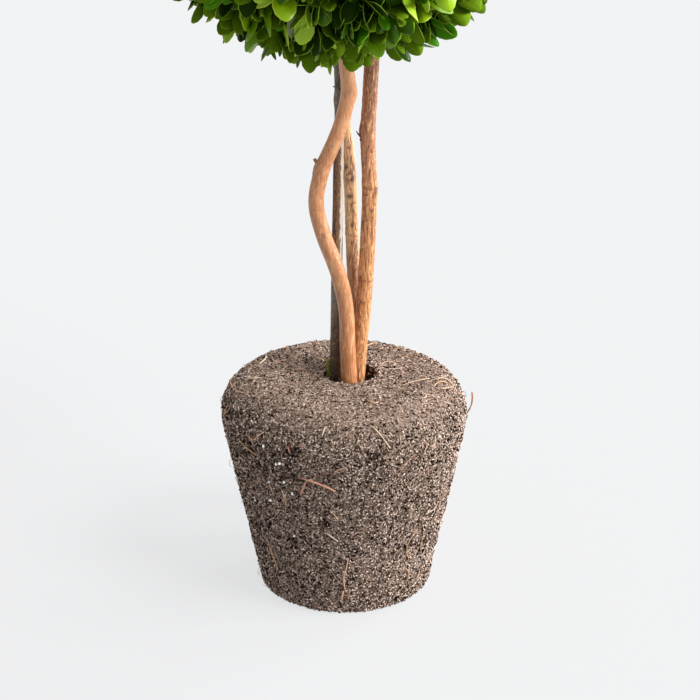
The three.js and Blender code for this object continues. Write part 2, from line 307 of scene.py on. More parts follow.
class Desk:
    """One material's node tree, with short calls for the nodes that the finishes use."""

    def __init__(self, name: str, roughness: float, specular: float = 0.5) -> None:
        """Starts a material.

        Args:
            name: The material's name.
            roughness: Roughness of its surface.
            specular: Strength of its plain reflection.
        """
        self.material = bpy.data.materials.new(name)
        self.material.use_nodes = True
        self.tree = self.material.node_tree
        self.surface = self.tree.nodes["Principled BSDF"]
        self.dress(Roughness=roughness, Specular_IOR_Level=specular)

    def put(self, socket: Socket, value: object) -> None:
        """Fills an input.

        Args:
            socket: The input.
            value: An output to link to it, or its number, vector or colour.
        """
        if isinstance(value, Socket):
            self.tree.links.new(value, socket)
        elif socket.type == "RGBA":
            socket.default_value = (*value, 1)
        else:
            socket.default_value = value

    def fill(self, node: bpy.types.Node, **values: object) -> bpy.types.Node:
        """Fills inputs of a node.

        Args:
            node: The node.
            values: What to fill in by the inputs' names, spaces written as underscores.

        Returns:
            The same node.
        """
        for key, value in values.items():
            self.put(node.inputs[key.replace("_", " ")], value)
        return node

    def add(self, kind: str, **values: object) -> bpy.types.Node:
        """A new node with some inputs filled."""
        return self.fill(self.tree.nodes.new(kind), **values)

    def dress(self, **values: object) -> Material:
        """Fills inputs of the surface, and hands over the material."""
        self.fill(self.surface, **values)
        return self.material

    def place(self, scale: Triple = (1, 1, 1)) -> Socket:
        """Object coordinates in millimetres.

        Args:
            scale: What they are divided by along each axis.

        Returns:
            The vector.
        """
        source = self.add("ShaderNodeTexCoord").outputs["Object"]
        factors = tuple(1000 / part for part in scale)
        return self.add("ShaderNodeMapping", Vector=source, Scale=factors).outputs["Vector"]

    def height(self) -> Socket:
        """Height above the floor in millimetres."""
        return self.add("ShaderNodeSeparateXYZ", Vector=self.place()).outputs["Z"]

    def mark(self, key: str) -> Socket:
        """A value that a piece's points carry.

        Args:
            key: The name of the attribute.

        Returns:
            The value.
        """
        node = self.add("ShaderNodeAttribute")
        node.attribute_name = key
        return node.outputs["Fac"]

    def noise(self, cell: Triple, detail: float = 3, roughness: float = 0.55, bend: float = 0) -> Socket:
        """Cloud noise.

        Args:
            cell: Size of its cells along each axis, in millimetres.
            detail: How many finer layers it has.
            roughness: How strong the finer layers are.
            bend: How far the cells are twisted.

        Returns:
            Its value, from 0 to 1.
        """
        inputs = {"Scale": 1.0, "Detail": detail, "Roughness": roughness, "Distortion": bend}
        return self.add("ShaderNodeTexNoise", Vector=self.place(cell), **inputs).outputs["Fac"]

    def ramp(self, value: Socket, stops: list[tuple[float, Color]]) -> Socket:
        """A colour that follows a value.

        Args:
            value: A number from 0 to 1.
            stops: Rows of (value, colour), from low to high.

        Returns:
            The colour.
        """
        node = self.add("ShaderNodeValToRGB", Fac=value)
        elements = node.color_ramp.elements
        while len(elements) < len(stops):
            elements.new(0.5)
        for element, (at, color) in zip(elements, stops):
            element.position = at
            element.color = (*color, 1)
        return node.outputs["Color"]

    def span(
        self, value: Socket, low: float, high: float, most: float = 1.0, way: str = "SMOOTHSTEP"
    ) -> Socket:
        """A step from 0 to most.

        Args:
            value: The number that it follows.
            low: Where it starts to rise.
            high: Where it has risen.
            most: How high it gets.
            way: The node's own name for how it rises.

        Returns:
            Its height.
        """
        node = self.add("ShaderNodeMapRange", Value=value, From_Min=low, From_Max=high, To_Max=most)
        node.interpolation_type = way
        return node.outputs["Result"]

    def blend(self, share: Socket, first: Socket | Color, second: Socket | Color) -> Socket:
        """Two colours mixed.

        Args:
            share: How much of the second one there is, from 0 to 1.
            first: A colour or an output.
            second: Another one.

        Returns:
            The mixed colour.
        """
        node = self.add("ShaderNodeMix")
        node.data_type = "RGBA"
        self.put(node.inputs[0], share)
        self.put(node.inputs[6], first)
        self.put(node.inputs[7], second)
        return node.outputs[2]

    def relief(self, layers: list[tuple[Socket, float]]) -> None:
        """Stacks bumps on the surface.

        Args:
            layers: Rows of (height value, its depth in millimetres).
        """
        below: dict[str, Socket] = {}
        for height, depth in layers:
            bump = self.add("ShaderNodeBump", Height=height, Strength=1.0, Distance=depth * MM, **below)
            below = {"Normal": bump.outputs["Normal"]}
        self.dress(**below)


@dataclass(frozen=True)
class PlainFinish:
    """One plain colour for loose fibres, roots, grains, spurs or twigs."""

    name: str
    color: Color
    roughness: float = 0.8
    gloss: float = 0.25

    def material(self) -> Material:
        """Builds the material."""
        return Desk(self.name, self.roughness, self.gloss).dress(Base_Color=self.color)


def palette(tones: type[Enum], roughness: float = 0.8, gloss: float = 0.25) -> list[Material]:
    """A plain material for each tone, in their order and named after them."""
    return [PlainFinish(tone.name.lower(), tone.value, roughness, gloss).material() for tone in tones]


def number(tone: Enum) -> int:
    """A tone's place among its kind, which is its material's number."""
    return list(type(tone)).index(tone)


@dataclass(frozen=True)
class PeatFinish:
    """Pressed peat: grey-brown crumbs, with painted shade in the gaps, pits and hollow, and a matted top
    painted partly lighter for the light from above.
    """

    # painted shade: the near-black of the gaps and pits between crumbs
    pit: Color = (0.016, 0.008, 0.005)
    body: Color = (0.115, 0.078, 0.060)
    pale: Color = (0.46, 0.35, 0.28)
    # the matted top's own tone, painted lighter in part for the light from above
    matted: Color = (0.20, 0.138, 0.107)
    # painted shade inside the hollow
    hollow: Color = (0.034, 0.023, 0.017)

    def material(self) -> Material:
        """Builds the material.

        Returns:
            A material that reads the skin's marks: depth is 0 in a pit and 1 on a lump, pressed
            is 1 on the matted top, and hollow is 1 inside the hollow. Pits and the hollow take painted
            shade, and the top is painted partly lighter for the light from above.
        """
        desk = Desk("peat", roughness=0.95, specular=0.0)
        fine = desk.noise((1.05, 1.05, 1.05), 2, 0.6, 1.2)
        thread = desk.noise((1.6, 1.6, 1.6), 2, 0.5, 2.0)
        # the darkest stop is painted shade where the fine bump is lowest
        crumbs = desk.ramp(fine, [(0.42, self.pit), (0.52, self.body), (0.66, self.pale)])
        matted = desk.ramp(fine, [(0.34, self.body), (0.5, self.matted), (0.7, self.pale)])
        black, white = (0, 0, 0), (1, 1, 1)
        lines = desk.ramp(thread, [(0.46, black), (0.495, white), (0.53, black)])
        threaded = desk.blend(lines, crumbs, self.pale)
        # painted shade in the skin's pits
        pit_shaded = desk.blend(desk.span(desk.mark("depth"), 0.12, 0.5), self.pit, threaded)
        # the matted top, painted partly lighter for the light from above
        skin = desk.blend(desk.mark("pressed"), pit_shaded, matted)
        # painted shade inside the hollow
        skin = desk.blend(desk.span(desk.mark("hollow"), 0.0, 1.0, 0.9), skin, self.hollow)
        desk.relief([(thread, 0.7), (fine, 0.8)])
        return desk.dress(Base_Color=skin)


@dataclass(frozen=True)
class BarkGrain:
    """How a kind of bark is broken up.

    A pattern is cloud noise given as (cell, detail, roughness, bend). A wash (pattern, low, high,
    share, tint) lays the finish's crack, ridge or scar colour over the coat where the pattern
    goes from low to high. The relief is a row of (pattern, depth).
    """

    patterns: dict[str, tuple[Triple, float, float, float]]
    washes: tuple[tuple[str, float, float, float, str], ...]
    relief: tuple[tuple[str, float], ...]
    crack_share: float = 1.0


class BarkKind(Enum):
    """The kinds of bark."""

    SMOOTH = BarkGrain(
        {
            "grain": ((0.8, 0.8, 7), 3, 0.68, 0.5),
            "patch": ((3.5, 3.5, 8), 3, 0.55, 0),
            "speck": ((0.7, 0.7, 0.9), 2, 0.5, 0),
        },
        (
            ("patch", 0.48, 0.68, 0.55, "ridge"),
            ("patch", 0.47, 0.30, 0.5, "crack"),
            ("grain", 0.52, 0.66, 0.7, "ridge"),
            ("grain", 0.47, 0.34, 0.6, "crack"),
            ("speck", 0.66, 0.73, 0.6, "crack"),
        ),
        (("grain", 0.1), ("speck", 0.05)),
        crack_share=0.25,
    )
    CRACKED = BarkGrain(
        {"grain": ((0.75, 0.75, 5.5), 4, 0.66, 0.6), "flake": ((0.95, 0.95, 6.0), 3, 0.6, 0.8)},
        (("flake", 0.50, 0.62, 0.8, "ridge"), ("grain", 0.47, 0.36, 0.9, "crack")),
        (("flake", 0.6), ("grain", 0.45)),
    )
    FLECKED = BarkGrain(
        {"grain": ((0.8, 0.8, 6), 4, 0.6, 0), "fleck": ((1.1, 1.1, 1.7), 3, 0.6, 0)},
        (
            ("grain", 0.55, 0.75, 0.6, "ridge"),
            ("grain", 0.42, 0.3, 0.8, "crack"),
            ("fleck", 0.58, 0.64, 0.8, "scar"),
        ),
        (("grain", 0.15),),
    )


@dataclass(frozen=True)
class BarkFinish:
    """Bark whose colour changes up the stem, with the cracks and ridges of its own grain, and a pale
    band painted as a highlight.

    Its coat is a row of (height, colour); some coats carry painted light and shade at their heights.
    """

    name: str
    kind: BarkKind
    coat: tuple[tuple[float, Color], ...]
    crack: Color
    ridge: Color
    scar: Color
    roughness: float
    specular: float = 0.5
    fuzz: float = 0.04
    fuzz_roughness: float = 0.45
    # the colour of a pale band painted as a highlight on the lit side
    highlight_streak: Color = (0.68, 0.56, 0.45)

    def material(self) -> Material:
        """Builds the material.

        Returns:
            A material that reads the stem's marks: crack, scar and the band painted as a highlight.
        """
        desk, grain = Desk(self.name, self.roughness, self.specular), self.kind.value
        low, high = self.coat[0][0], self.coat[-1][0]
        stops = [((level - low) / (high - low), tone) for level, tone in self.coat]
        bark = desk.ramp(desk.span(desk.height(), low, high, way="LINEAR"), stops)
        patterns = {key: desk.noise(*pattern) for key, pattern in grain.patterns.items()}
        tints = {"crack": self.crack, "ridge": self.ridge, "scar": self.scar}
        for key, start, end, share, tint in grain.washes:
            bark = desk.blend(desk.span(patterns[key], start, end, share), bark, tints[tint])
        cracks = desk.span(desk.mark("crack"), 0.0, 1.0, grain.crack_share)
        bark = desk.blend(cracks, bark, self.crack)
        bark = desk.blend(desk.mark("scar"), bark, self.scar)
        # painted highlight band
        bark = desk.blend(desk.mark("highlight_streak"), bark, self.highlight_streak)
        desk.relief([(patterns[key], depth) for key, depth in grain.relief])
        return desk.dress(Base_Color=bark, Sheen_Weight=self.fuzz, Sheen_Roughness=self.fuzz_roughness)


class LeafTone(Enum):
    """The greens that sprigs are dealt, and the parts of a leaf with their own colour; the rims carry a
    painted highlight, and pale midribs share its tone.

    Each is (base colour, strength of its plain reflection): a few greens shine, the greyest most.
    """

    DEEP = (0.009, 0.026, 0.0004), 0.03
    BOTTLE = (0.031, 0.086, 0.0008), 0.1
    GREEN = (0.042, 0.165, 0.001), 0.03
    LEAF = (0.120, 0.250, 0.001), 0.22
    FRESH = (0.225, 0.385, 0.002), 0.28
    LIME = (0.260, 0.420, 0.008), 0.28
    # its greyish colour partly paints the sheen of glossy leaves, beside its real gloss
    SAGE = (0.100, 0.135, 0.045), 0.7
    # painted highlight along the rims and ends of the leaves, shared by pale midribs
    DARK_EDGE = (0.160, 0.270, 0.020), 0.03
    PALE_EDGE = (0.430, 0.560, 0.060), 0.03
    UNDERSIDE = (0.105, 0.192, 0.005), 0.03


@dataclass(frozen=True)
class LeafFinish:
    """A leaf in one plain green, waxy above and matt below."""

    tone: LeafTone
    roughness: float = 0.33
    matt_roughness: float = 0.65

    def material(self) -> Material:
        """Builds the material.

        Returns:
            A material named after its tone.
        """
        color, gloss = self.tone.value
        roughness = self.matt_roughness if self.tone is LeafTone.UNDERSIDE else self.roughness
        return Desk(f"leaf_{self.tone.name.lower()}", roughness, gloss).dress(Base_Color=color)


@dataclass(frozen=True)
class ShadeCoreFinish:
    """Painted shade: a dark ball that fills the inside of the crown, where there is only shade."""

    gap: Color = (0.004, 0.007, 0.002)
    body: Color = (0.014, 0.026, 0.006)
    pale: Color = (0.03, 0.045, 0.012)

    def material(self) -> Material:
        """Builds the material.

        Returns:
            A material with a tangled pattern.
        """
        desk = Desk("crown_shade_core", roughness=0.95, specular=0.1)
        tangle = desk.noise((2.5, 2.5, 2.5), 4, 0.6, 1.0)
        desk.relief([(tangle, 1.5)])
        stops = [(0.35, self.gap), (0.6, self.body), (0.8, self.pale)]
        return desk.dress(Base_Color=desk.ramp(tangle, stops))


@dataclass(frozen=True)
class FloorFinish:
    """A translucent light table: pale paper with a glow of its own that thins the shadows."""

    color: Color = (0.095, 0.096, 0.098)
    glow_color: Color = (0.985, 0.99, 1.0)
    glow: float = 0.712

    def material(self) -> Material:
        """Builds the material.

        Returns:
            A matt material with a glow.
        """
        desk = Desk("light_table", roughness=0.9, specular=0.0)
        glow = {"Emission_Color": self.glow_color, "Emission_Strength": self.glow}
        return desk.dress(Base_Color=self.color, **glow)


# ---- Root ball -------------------------------------------------------------------------------


class CrumbTone(Enum):
    """Colours of the crumbs and fibres."""

    CRUMB_PALE = (0.80, 0.635, 0.55)
    CRUMB_DUN = (0.39, 0.282, 0.235)
    CRUMB_BROWN = (0.095, 0.056, 0.041)
    # painted shade: near-black crumbs that stand for the pits between crumbs
    CRUMB_BLACK = (0.012, 0.0055, 0.0035)
    CRUMB_RUST = (0.30, 0.16, 0.09)


class StrandTone(Enum):
    """Colours of the loose straws and roots."""

    STRAW = (0.60, 0.44, 0.31)
    ROOT_TAN = (0.55, 0.33, 0.20)
    ROOT_RED = (0.40, 0.205, 0.135)
    STRAW_PALE = (0.66, 0.54, 0.42)


class MossTone(Enum):
    """Colours of the moss."""

    MOSS_BRIGHT = (0.42, 0.40, 0.07)
    MOSS_DEEP = (0.16, 0.16, 0.03)


@dataclass(frozen=True)
class Strand:
    """A loose root or straw on the peat.

    Its stops are (degrees around, millimetres walked up the outline, millimetres off the skin).
    """

    stops: tuple[Triple, ...]
    thickness: float
    tone: StrandTone


STRAW, TAN_ROOT, RED_ROOT, PALE_STRAW = StrandTone

STRANDS = (
    Strand(((167, 181, 0.2), (178, 182, 0.9), (194, 185, 0.6), (200, 188, 0)), 0.5, TAN_ROOT),
    Strand(((214, 164, 0.5), (220, 161, 0.8), (226, 158, 0.4)), 0.45, TAN_ROOT),
    Strand(((221, 169, 0.3), (225, 167, 0.8), (227, 170, 0.9), (230, 174, 0.2)), 0.4, TAN_ROOT),
    Strand(((261, 184, 0.4), (260, 178, 0.7)), 0.42, PALE_STRAW),
    Strand(((284, 184, 0.5), (288, 177, 0.9), (291, 170, 0.5)), 0.48, STRAW),
    Strand(((249, 150, 0.2), (256, 149, 0.9), (262, 146, 1.2), (266, 143, 0.7)), 0.85, RED_ROOT),
    Strand(((252, 148, 0.6), (249, 139, 0.9)), 1.15, RED_ROOT),
    Strand(((329, 213, 0.3), (340, 209, 0.8), (346, 204, 0.8), (350, 200, 0.3)), 0.42, STRAW),
    Strand(((341, 191, 0.4), (346, 188, 0.7), (352, 185, 0.4)), 0.42, STRAW),
    Strand(((326, 197, 0.3), (330, 191, 0.5)), 0.4, STRAW),
    Strand(((272, 94, 0.3), (271, 86, 0.8), (269, 79, 0.7), (270, 70, 0.4)), 0.5, TAN_ROOT),
    Strand(((269, 69, 0.5), (268, 62, 0.5)), 0.75, TAN_ROOT),
    Strand(((273, 70, 0.5), (272, 63, 0.4)), 0.6, RED_ROOT),
    Strand(((220, 95, 0.3), (224, 84, 0.8), (225, 75, 0.4)), 0.5, TAN_ROOT),
    Strand(((239, 137, 0.4), (240, 128, 0.6)), 0.4, TAN_ROOT),
    Strand(((263, 129, 0.4), (267, 123, 0.5)), 0.35, STRAW),
    Strand(((261, 112, 0.3), (266, 107, 0.5)), 0.35, PALE_STRAW),
    Strand(((249, 171, 0.5), (252, 171, 0.5)), 0.6, RED_ROOT),
    Strand(((244, 170, 0.5), (245, 166, 0.5)), 0.5, RED_ROOT),
    Strand(((265, 155, 0.3), (267, 158, 0.8), (271, 160, 0.4)), 0.4, TAN_ROOT),
    Strand(((231, 141, 0.4), (233, 133, 0.5)), 0.35, TAN_ROOT),
    Strand(((238, 139, 0.4), (241, 132, 0.5)), 0.35, STRAW),
    Strand(((353, 166, 0.4), (352, 169, 2.6), (352, 173.5, 5.2), (351, 177, 7.4)), 0.75, RED_ROOT),
)

# White grains, as (degrees around, millimetres walked up the outline).
GRAINS = (
    (231, 166), (237, 156), (239, 157), (231, 141), (240, 144), (217, 122), (230, 128), (244, 137),
    (242, 106),
)

# Bare spots, as (degrees around, height, half width in degrees, half height).
CRUMBLED = ((231, 105, 34, 12), (294, 103, 11, 12), (268, 65, 18, 8), (283, 92, 9, 7), (80, 90, 25, 10))


@dataclass
class RootBall:
    """The tapering plug of pressed peat, with its hollow and all that covers its skin.

    The hub is the radius of the small rings next to the middles of the underside and the hollow.
    The top's middle lies to the side by the lean, and the hollow's where hollow says. The skin
    lies sunk below the smooth outline, and its rings are one pitch apart.
    """

    height: float = 136.5
    base_radius: float = 53.0
    base_edge: float = 4.5
    shoulder_radius: float = 74.4
    shoulder_edge: float = 23.0
    hub: float = 0.6
    lean: float = -0.8
    unevenness: float = 0.9
    hollow: Pair = (3.2, 3.1)
    top_dip: float = 0.4
    mouth_dip: float = 0.6
    mouth_radius: float = 16.2
    floor_radius: float = 15.3
    hollow_depth: float = 10.0
    around: int = 352
    pitch: float = 1.12
    lumps: tuple[Layer, ...] = ((1, 17.0, 0.34), (2, 5.5, 0.46), (3, 2.6, 0.45))
    web: Layer = (4, 3.1, 0.3)
    relief_depth: float = 0.85
    sunk: float = 0.55
    lowest_site: float = 0.8
    lowest_curl: float = 0.65
    curl_lift: float = 0.12

    def outline(self) -> Array:
        """The turned outline from the middle of the underside to the middle of the hollow.

        Returns:
            Rows of radius, height, middle x, middle y and unevenness, one pitch apart.
        """
        taper = math.atan2(self.shoulder_radius - self.base_radius, self.height)
        foot = self.base_radius - self.base_edge
        crest = self.shoulder_radius - self.shoulder_edge
        arcs = (
            (foot, self.base_edge, self.base_edge, -math.pi / 3, -taper, 3),
            (crest, self.height - self.shoulder_edge, self.shoulder_edge, -taper, math.pi / 2, 24),
        )
        rows = [(self.hub, 0.0), (foot, 0.0)]
        for middle_r, middle_z, radius, start, end, steps in arcs:
            angle = np.linspace(start, end, steps)
            rows += zip(middle_r + radius * np.cos(angle), middle_z + radius * np.sin(angle))
        outer = len(rows) + 1
        floor = self.height - self.hollow_depth
        rows += [
            ((crest + self.mouth_radius) / 2, self.height - self.top_dip),
            (self.mouth_radius, self.height - self.mouth_dip),
            (self.floor_radius, floor),
            (self.hub, floor),
        ]
        turned = np.array(rows)
        inner = np.arange(len(rows)) >= outer
        share = turned[:, 1] / self.height
        table = np.column_stack([
            turned,
            np.where(inner, self.hollow[0], self.lean * share),
            np.where(inner, self.hollow[1], 0.0),
            np.where(inner, 0.0, self.unevenness * np.sin(np.pi * share)),
        ])
        walked = np.concatenate([[0], np.cumsum(np.linalg.norm(np.diff(turned, axis=0), axis=1))])
        return read_off(np.linspace(0, walked[-1], int(walked[-1] / self.pitch)), walked, table)

    @cached_property
    def surface(self) -> tuple[Array, Array, Array]:
        """The skin with its relief, worked out on a grid of outline row by angle.

        A point is middle + (radius + unevenness * waves) * (cos, sin), with three and five waves
        round it. It is moved along its normal by the relief, which is the lumps plus a web of
        ridges 1 - 2|noise|, and less on the matted top and at the underside.

        Returns:
            Points and normals as [row, angle, xyz], and the relief as [row, angle], -1 to 1.
        """
        radius, height, middle_x, middle_y, uneven = self.outline().T
        angle = full_turn(self.around)
        share = height[:, None] / self.height
        wave = np.sin(3 * angle + 4.4 * share) + 0.7 * np.sin(5 * angle - 7 * share + 1)
        reach = radius[:, None] + uneven[:, None] * wave
        flat = np.stack([
            middle_x[:, None] + reach * np.cos(angle),
            middle_y[:, None] + reach * np.sin(angle),
            np.broadcast_to(height[:, None], reach.shape),
        ], -1)
        climb, widen = np.gradient(height)[:, None], np.gradient(radius)[:, None]
        normal = unit(np.stack([
            climb * np.cos(angle), climb * np.sin(angle), np.broadcast_to(-widen, reach.shape)
        ], -1))
        seed, wavelength, depth = self.web
        web = depth * (1 - 2 * np.abs(LatticeNoise(seed).at(flat, wavelength)))
        relief = layered(flat, self.lumps) + web - 0.3 * self.crumbled(flat)
        stand = relief * (1 - 0.5 * self.pressed(flat, normal)) * self.relief_depth - self.sunk
        skin = flat + normal * (stand * soft_step(flat[..., 2], 0.0, 3.0))[..., None]
        skin[..., 2] = np.maximum(skin[..., 2], 0)
        return skin, normal, relief

    def crumbled(self, points: Array) -> Array:
        """How far crumbs have fallen off and left dark gaps.

        It is a faint cloud, plus exp(-(aside/w)^2 - (along/h)^2) / 2 for each bare spot, all made
        ragged by a finer noise.

        Args:
            points: Places as [..., xyz].

        Returns:
            1 in the middle of a bare spot, 0 on sound peat.
        """
        degrees = np.degrees(np.arctan2(points[..., 1], points[..., 0]))
        total = 0.3 * soft_step(LatticeNoise(7).at(points, 11), 0.1, 0.8)
        for at, height, half_width, half_height in CRUMBLED:
            aside = (degrees - at + 180) % 360 - 180
            away = (aside / half_width) ** 2 + ((points[..., 2] - height) / half_height) ** 2
            total = total + 0.5 * np.exp(-away)
        return (total * (0.6 + 0.8 * LatticeNoise(8).at(points, 4.5))).clip(0, 1)

    def pressed(self, points: Array, normal: Array) -> Array:
        """1 on the matted top, 0 on the sides, with an uneven border between them."""
        return soft_step(normal[..., 2] + 0.2 * LatticeNoise(9).at(points, 12), 0.5, 0.85)

    def inside_hollow(self, points: Array) -> Array:
        """1 well inside the hollow, 0 outside it."""
        away = np.hypot(points[..., 0] - self.hollow[0], points[..., 1] - self.hollow[1])
        return soft_step(self.height - points[..., 2], 1.0, 4.0) * (away < self.mouth_radius + 1.5)

    def sites(self, rng: Rng, count: int) -> tuple[Array, Array, Array]:
        """Random places on the skin, evenly spread over its area.

        Args:
            rng: Source of random numbers.
            count: How many places.

        Returns:
            Points, normals and directions around, each as [place, xyz].
        """
        skin, normal, _ = self.surface
        weight = np.linalg.norm(skin[:, 0, :2] - skin[:, self.around // 2, :2], axis=1)
        weight = weight * (skin[:, :, 2].mean(1) > self.lowest_site)
        row = rng.choice(len(weight), count, p=weight / weight.sum())
        column = rng.integers(0, self.around, count)
        points, normals = skin[row, column], normal[row, column]
        return points, normals, unit(np.cross([0.0, 0.0, 1.0], normals) + [1e-6, 0, 0])

    def curls(
        self, rng: Rng, length: Array, curl: Array, stand: Array, steps: int
    ) -> tuple[Array, Array]:
        """Short curling paths that lie on the skin in every direction.

        A path turns as it goes: its heading is start + curl * t, and it stands off the skin by
        stand * sin(0.85 pi t) + a little.

        Args:
            rng: Source of random numbers.
            length: The paths' lengths.
            curl: How far each one turns, in radians.
            stand: How far each one's middle stands off the skin.
            steps: How many points each path has.

        Returns:
            Points as [path, step, xyz] and the skin's normal at each path.
        """
        points, normals, around = self.sites(rng, len(length))
        upward = np.cross(normals, around)
        share = np.linspace(0, 1, steps)
        heading = rng.uniform(0, 2 * np.pi, len(length))[:, None] + curl[:, None] * share
        step = (length / (steps - 1))[:, None]
        along = (np.cos(heading) * step).cumsum(1)[..., None]
        across = (np.sin(heading) * step).cumsum(1)[..., None]
        off = (stand[:, None] * np.sin(np.pi * share * 0.85) + self.curl_lift)[..., None]
        paths = points[:, None, :] + along * around[:, None, :] + across * upward[:, None, :]
        paths = paths + off * normals[:, None, :]
        paths[..., 2] = np.maximum(paths[..., 2], self.lowest_curl)
        return paths, normals

    def on_skin(self, stops: Array) -> Array:
        """Places on the skin, each blended from the four grid points round it.

        Args:
            stops: Rows of (degrees around, millimetres walked, millimetres off the skin).

        Returns:
            Points as [..., xyz].
        """
        skin, normal, _ = self.surface
        row, turn = stops[..., 1] / self.pitch, stops[..., 0] / 360 * self.around
        low, first = np.floor(row).astype(int), np.floor(turn).astype(int)
        total = np.zeros((*stops.shape[:-1], 3))
        for up, over in np.ndindex(2, 2):
            share = np.abs(1 - up - row + low) * np.abs(1 - over - turn + first)
            index = (np.minimum(low + up, len(skin) - 1), (first + over) % self.around)
            total += share[..., None] * (skin[index] + stops[..., 2:] * normal[index])
        return total

    def build(self) -> None:
        """Makes the skin with its marks, and then all that covers it.

        The last two values of a mark belong to the middles of the underside and of the hollow.
        """
        skin, normal, relief = self.surface
        marks = {
            "depth": np.append((0.5 + 0.5 * relief).clip(0, 1), [0.4, 0.3]),
            "pressed": np.append(self.pressed(skin, normal), [0, 0]),
            "hollow": np.append(self.inside_hollow(skin), [0, 1]),
        }
        ball = closed_rings(skin)
        ball.piece("peat_ball", [PeatFinish().material()], "root_ball", ("root_ball",), marks)
        crumb_colors = palette(CrumbTone, roughness=0.95, gloss=0.0)
        Crumbs().build(self, crumb_colors)
        Fibres().build(self, crumb_colors)
        Strands().build(self)
        Grains().build(self)
        Moss().build(self)


@dataclass(frozen=True)
class Crumbs:
    """The short crumbs that cover the skin, some of them slim and the others stubby.

    Their lengths follow a gamma law with one shape and a scale for each kind. The deals are the
    chances of each tone on the sides, on the matted top, and in bare spots and the hollow. The
    near-black crumbs are painted shade in the pits: the top's deal has fewer of them, and the deal
    for bare spots and the hollow more, which in the hollow paints its shade.
    """

    seed: int = 11
    count: int = 42000
    parts: int = 4
    slim_share: float = 0.3
    length_shape: float = 6.0
    slim_scale: float = 0.3
    stub_scale: float = 0.17
    lengths: Pair = (0.6, 2.8)
    curl: float = 2.4
    most_stand: float = 0.45
    slim_radii: Pair = (0.13, 0.22)
    stub_radii: Pair = (0.22, 0.42)
    taper: tuple[float, ...] = (0.8, 1.0, 0.7)
    matted_loss: float = 0.2
    # the near-black crumbs of painted shade are made larger, to fill whole pits
    black_size: float = 1.45
    other_size: float = 0.9
    side_deal: tuple[float, ...] = (0.39, 0.18, 0.04, 0.375, 0.015)
    top_deal: tuple[float, ...] = (0.33, 0.33, 0.10, 0.22, 0.02)
    bare_deal: tuple[float, ...] = (0.12, 0.17, 0.26, 0.44, 0.01)

    def tones(self, ball: RootBall, rng: Rng, places: Array, matted: Array) -> Array:
        """Deals tones by chances that lie between those of the three deals.

        Args:
            ball: The root ball.
            rng: Source of random numbers.
            places: Where the crumbs are.
            matted: How matted the peat is there, from 0 to 1.

        Returns:
            The number of each crumb's tone.
        """
        # the bare deal also covers the hollow, where its extra near-black crumbs paint shade
        bare = np.maximum(ball.crumbled(places) * (1 - matted), ball.inside_hollow(places))[:, None]
        side, top = np.array(self.side_deal), np.array(self.top_deal)
        chances = side + matted[:, None] * (top - side)
        chances = chances + bare * (self.bare_deal - chances)
        above = rng.random(len(places))[:, None] > np.cumsum(chances, axis=1)
        return above.sum(1).clip(0, len(CrumbTone) - 1)

    def build(self, ball: RootBall, materials: list[Material]) -> None:
        """Makes the crumbs, in several pieces.

        Args:
            ball: The root ball that they cover.
            materials: One material for each crumb tone.
        """
        rng = np.random.default_rng(self.seed)
        count = self.count
        slim = rng.random(count) < self.slim_share
        length = rng.gamma(self.length_shape, np.where(slim, self.slim_scale, self.stub_scale))
        curl, stand = rng.normal(0, self.curl, count), rng.uniform(0.0, self.most_stand, count)
        paths, normals = ball.curls(rng, length.clip(*self.lengths), curl, stand, len(self.taper))
        matted = ball.pressed(paths[:, 0], normals)
        tones = self.tones(ball, rng, paths[:, 0], matted)
        narrow, wide = rng.uniform(*self.slim_radii, count), rng.uniform(*self.stub_radii, count)
        thick = np.where(slim, narrow, wide) * (1 - self.matted_loss * matted)
        size = np.where(tones == number(CrumbTone.CRUMB_BLACK), self.black_size, self.other_size)
        radii = thick[:, None] * np.array(self.taper) * size[:, None]
        for part, group in enumerate(np.array_split(np.arange(count), self.parts), 1):
            crumbs = tubes(paths[group], radii[group], normals[group], 3, tones[group])
            crumbs.piece(f"peat_crumbs_{part}", materials, "root_ball")


@dataclass(frozen=True)
class Fibres:
    """Thin fibres, each least_stand + more_stand * r^6 off the skin for a random r."""

    seed: int = 12
    count: int = 900
    length_shape: float = 5.0
    length_scale: float = 1.1
    lengths: Pair = (2.5, 12.0)
    curl: float = 1.6
    least_stand: float = 0.3
    more_stand: float = 2.2
    radii: Pair = (0.1, 0.17)
    taper: tuple[float, ...] = (0.8, 1.0, 1.0, 1.0, 0.8, 0.5)
    deal: tuple[float, ...] = (0.3, 0.2, 0.15, 0.1, 0.25)

    def build(self, ball: RootBall, materials: list[Material]) -> None:
        """Makes the fibres.

        Args:
            ball: The root ball that they lie on.
            materials: One material for each crumb tone.
        """
        rng = np.random.default_rng(self.seed)
        length = rng.gamma(self.length_shape, self.length_scale, self.count).clip(*self.lengths)
        curl = rng.normal(0, self.curl, self.count)
        stand = self.least_stand + self.more_stand * rng.random(self.count) ** 6
        paths, normals = ball.curls(rng, length, curl, stand, len(self.taper))
        radii = rng.uniform(*self.radii, self.count)[:, None] * np.array(self.taper)
        tones = rng.choice(len(self.deal), self.count, p=self.deal)
        tubes(paths, radii, normals, 3, tones).piece("peat_fibres", materials, "root_ball")


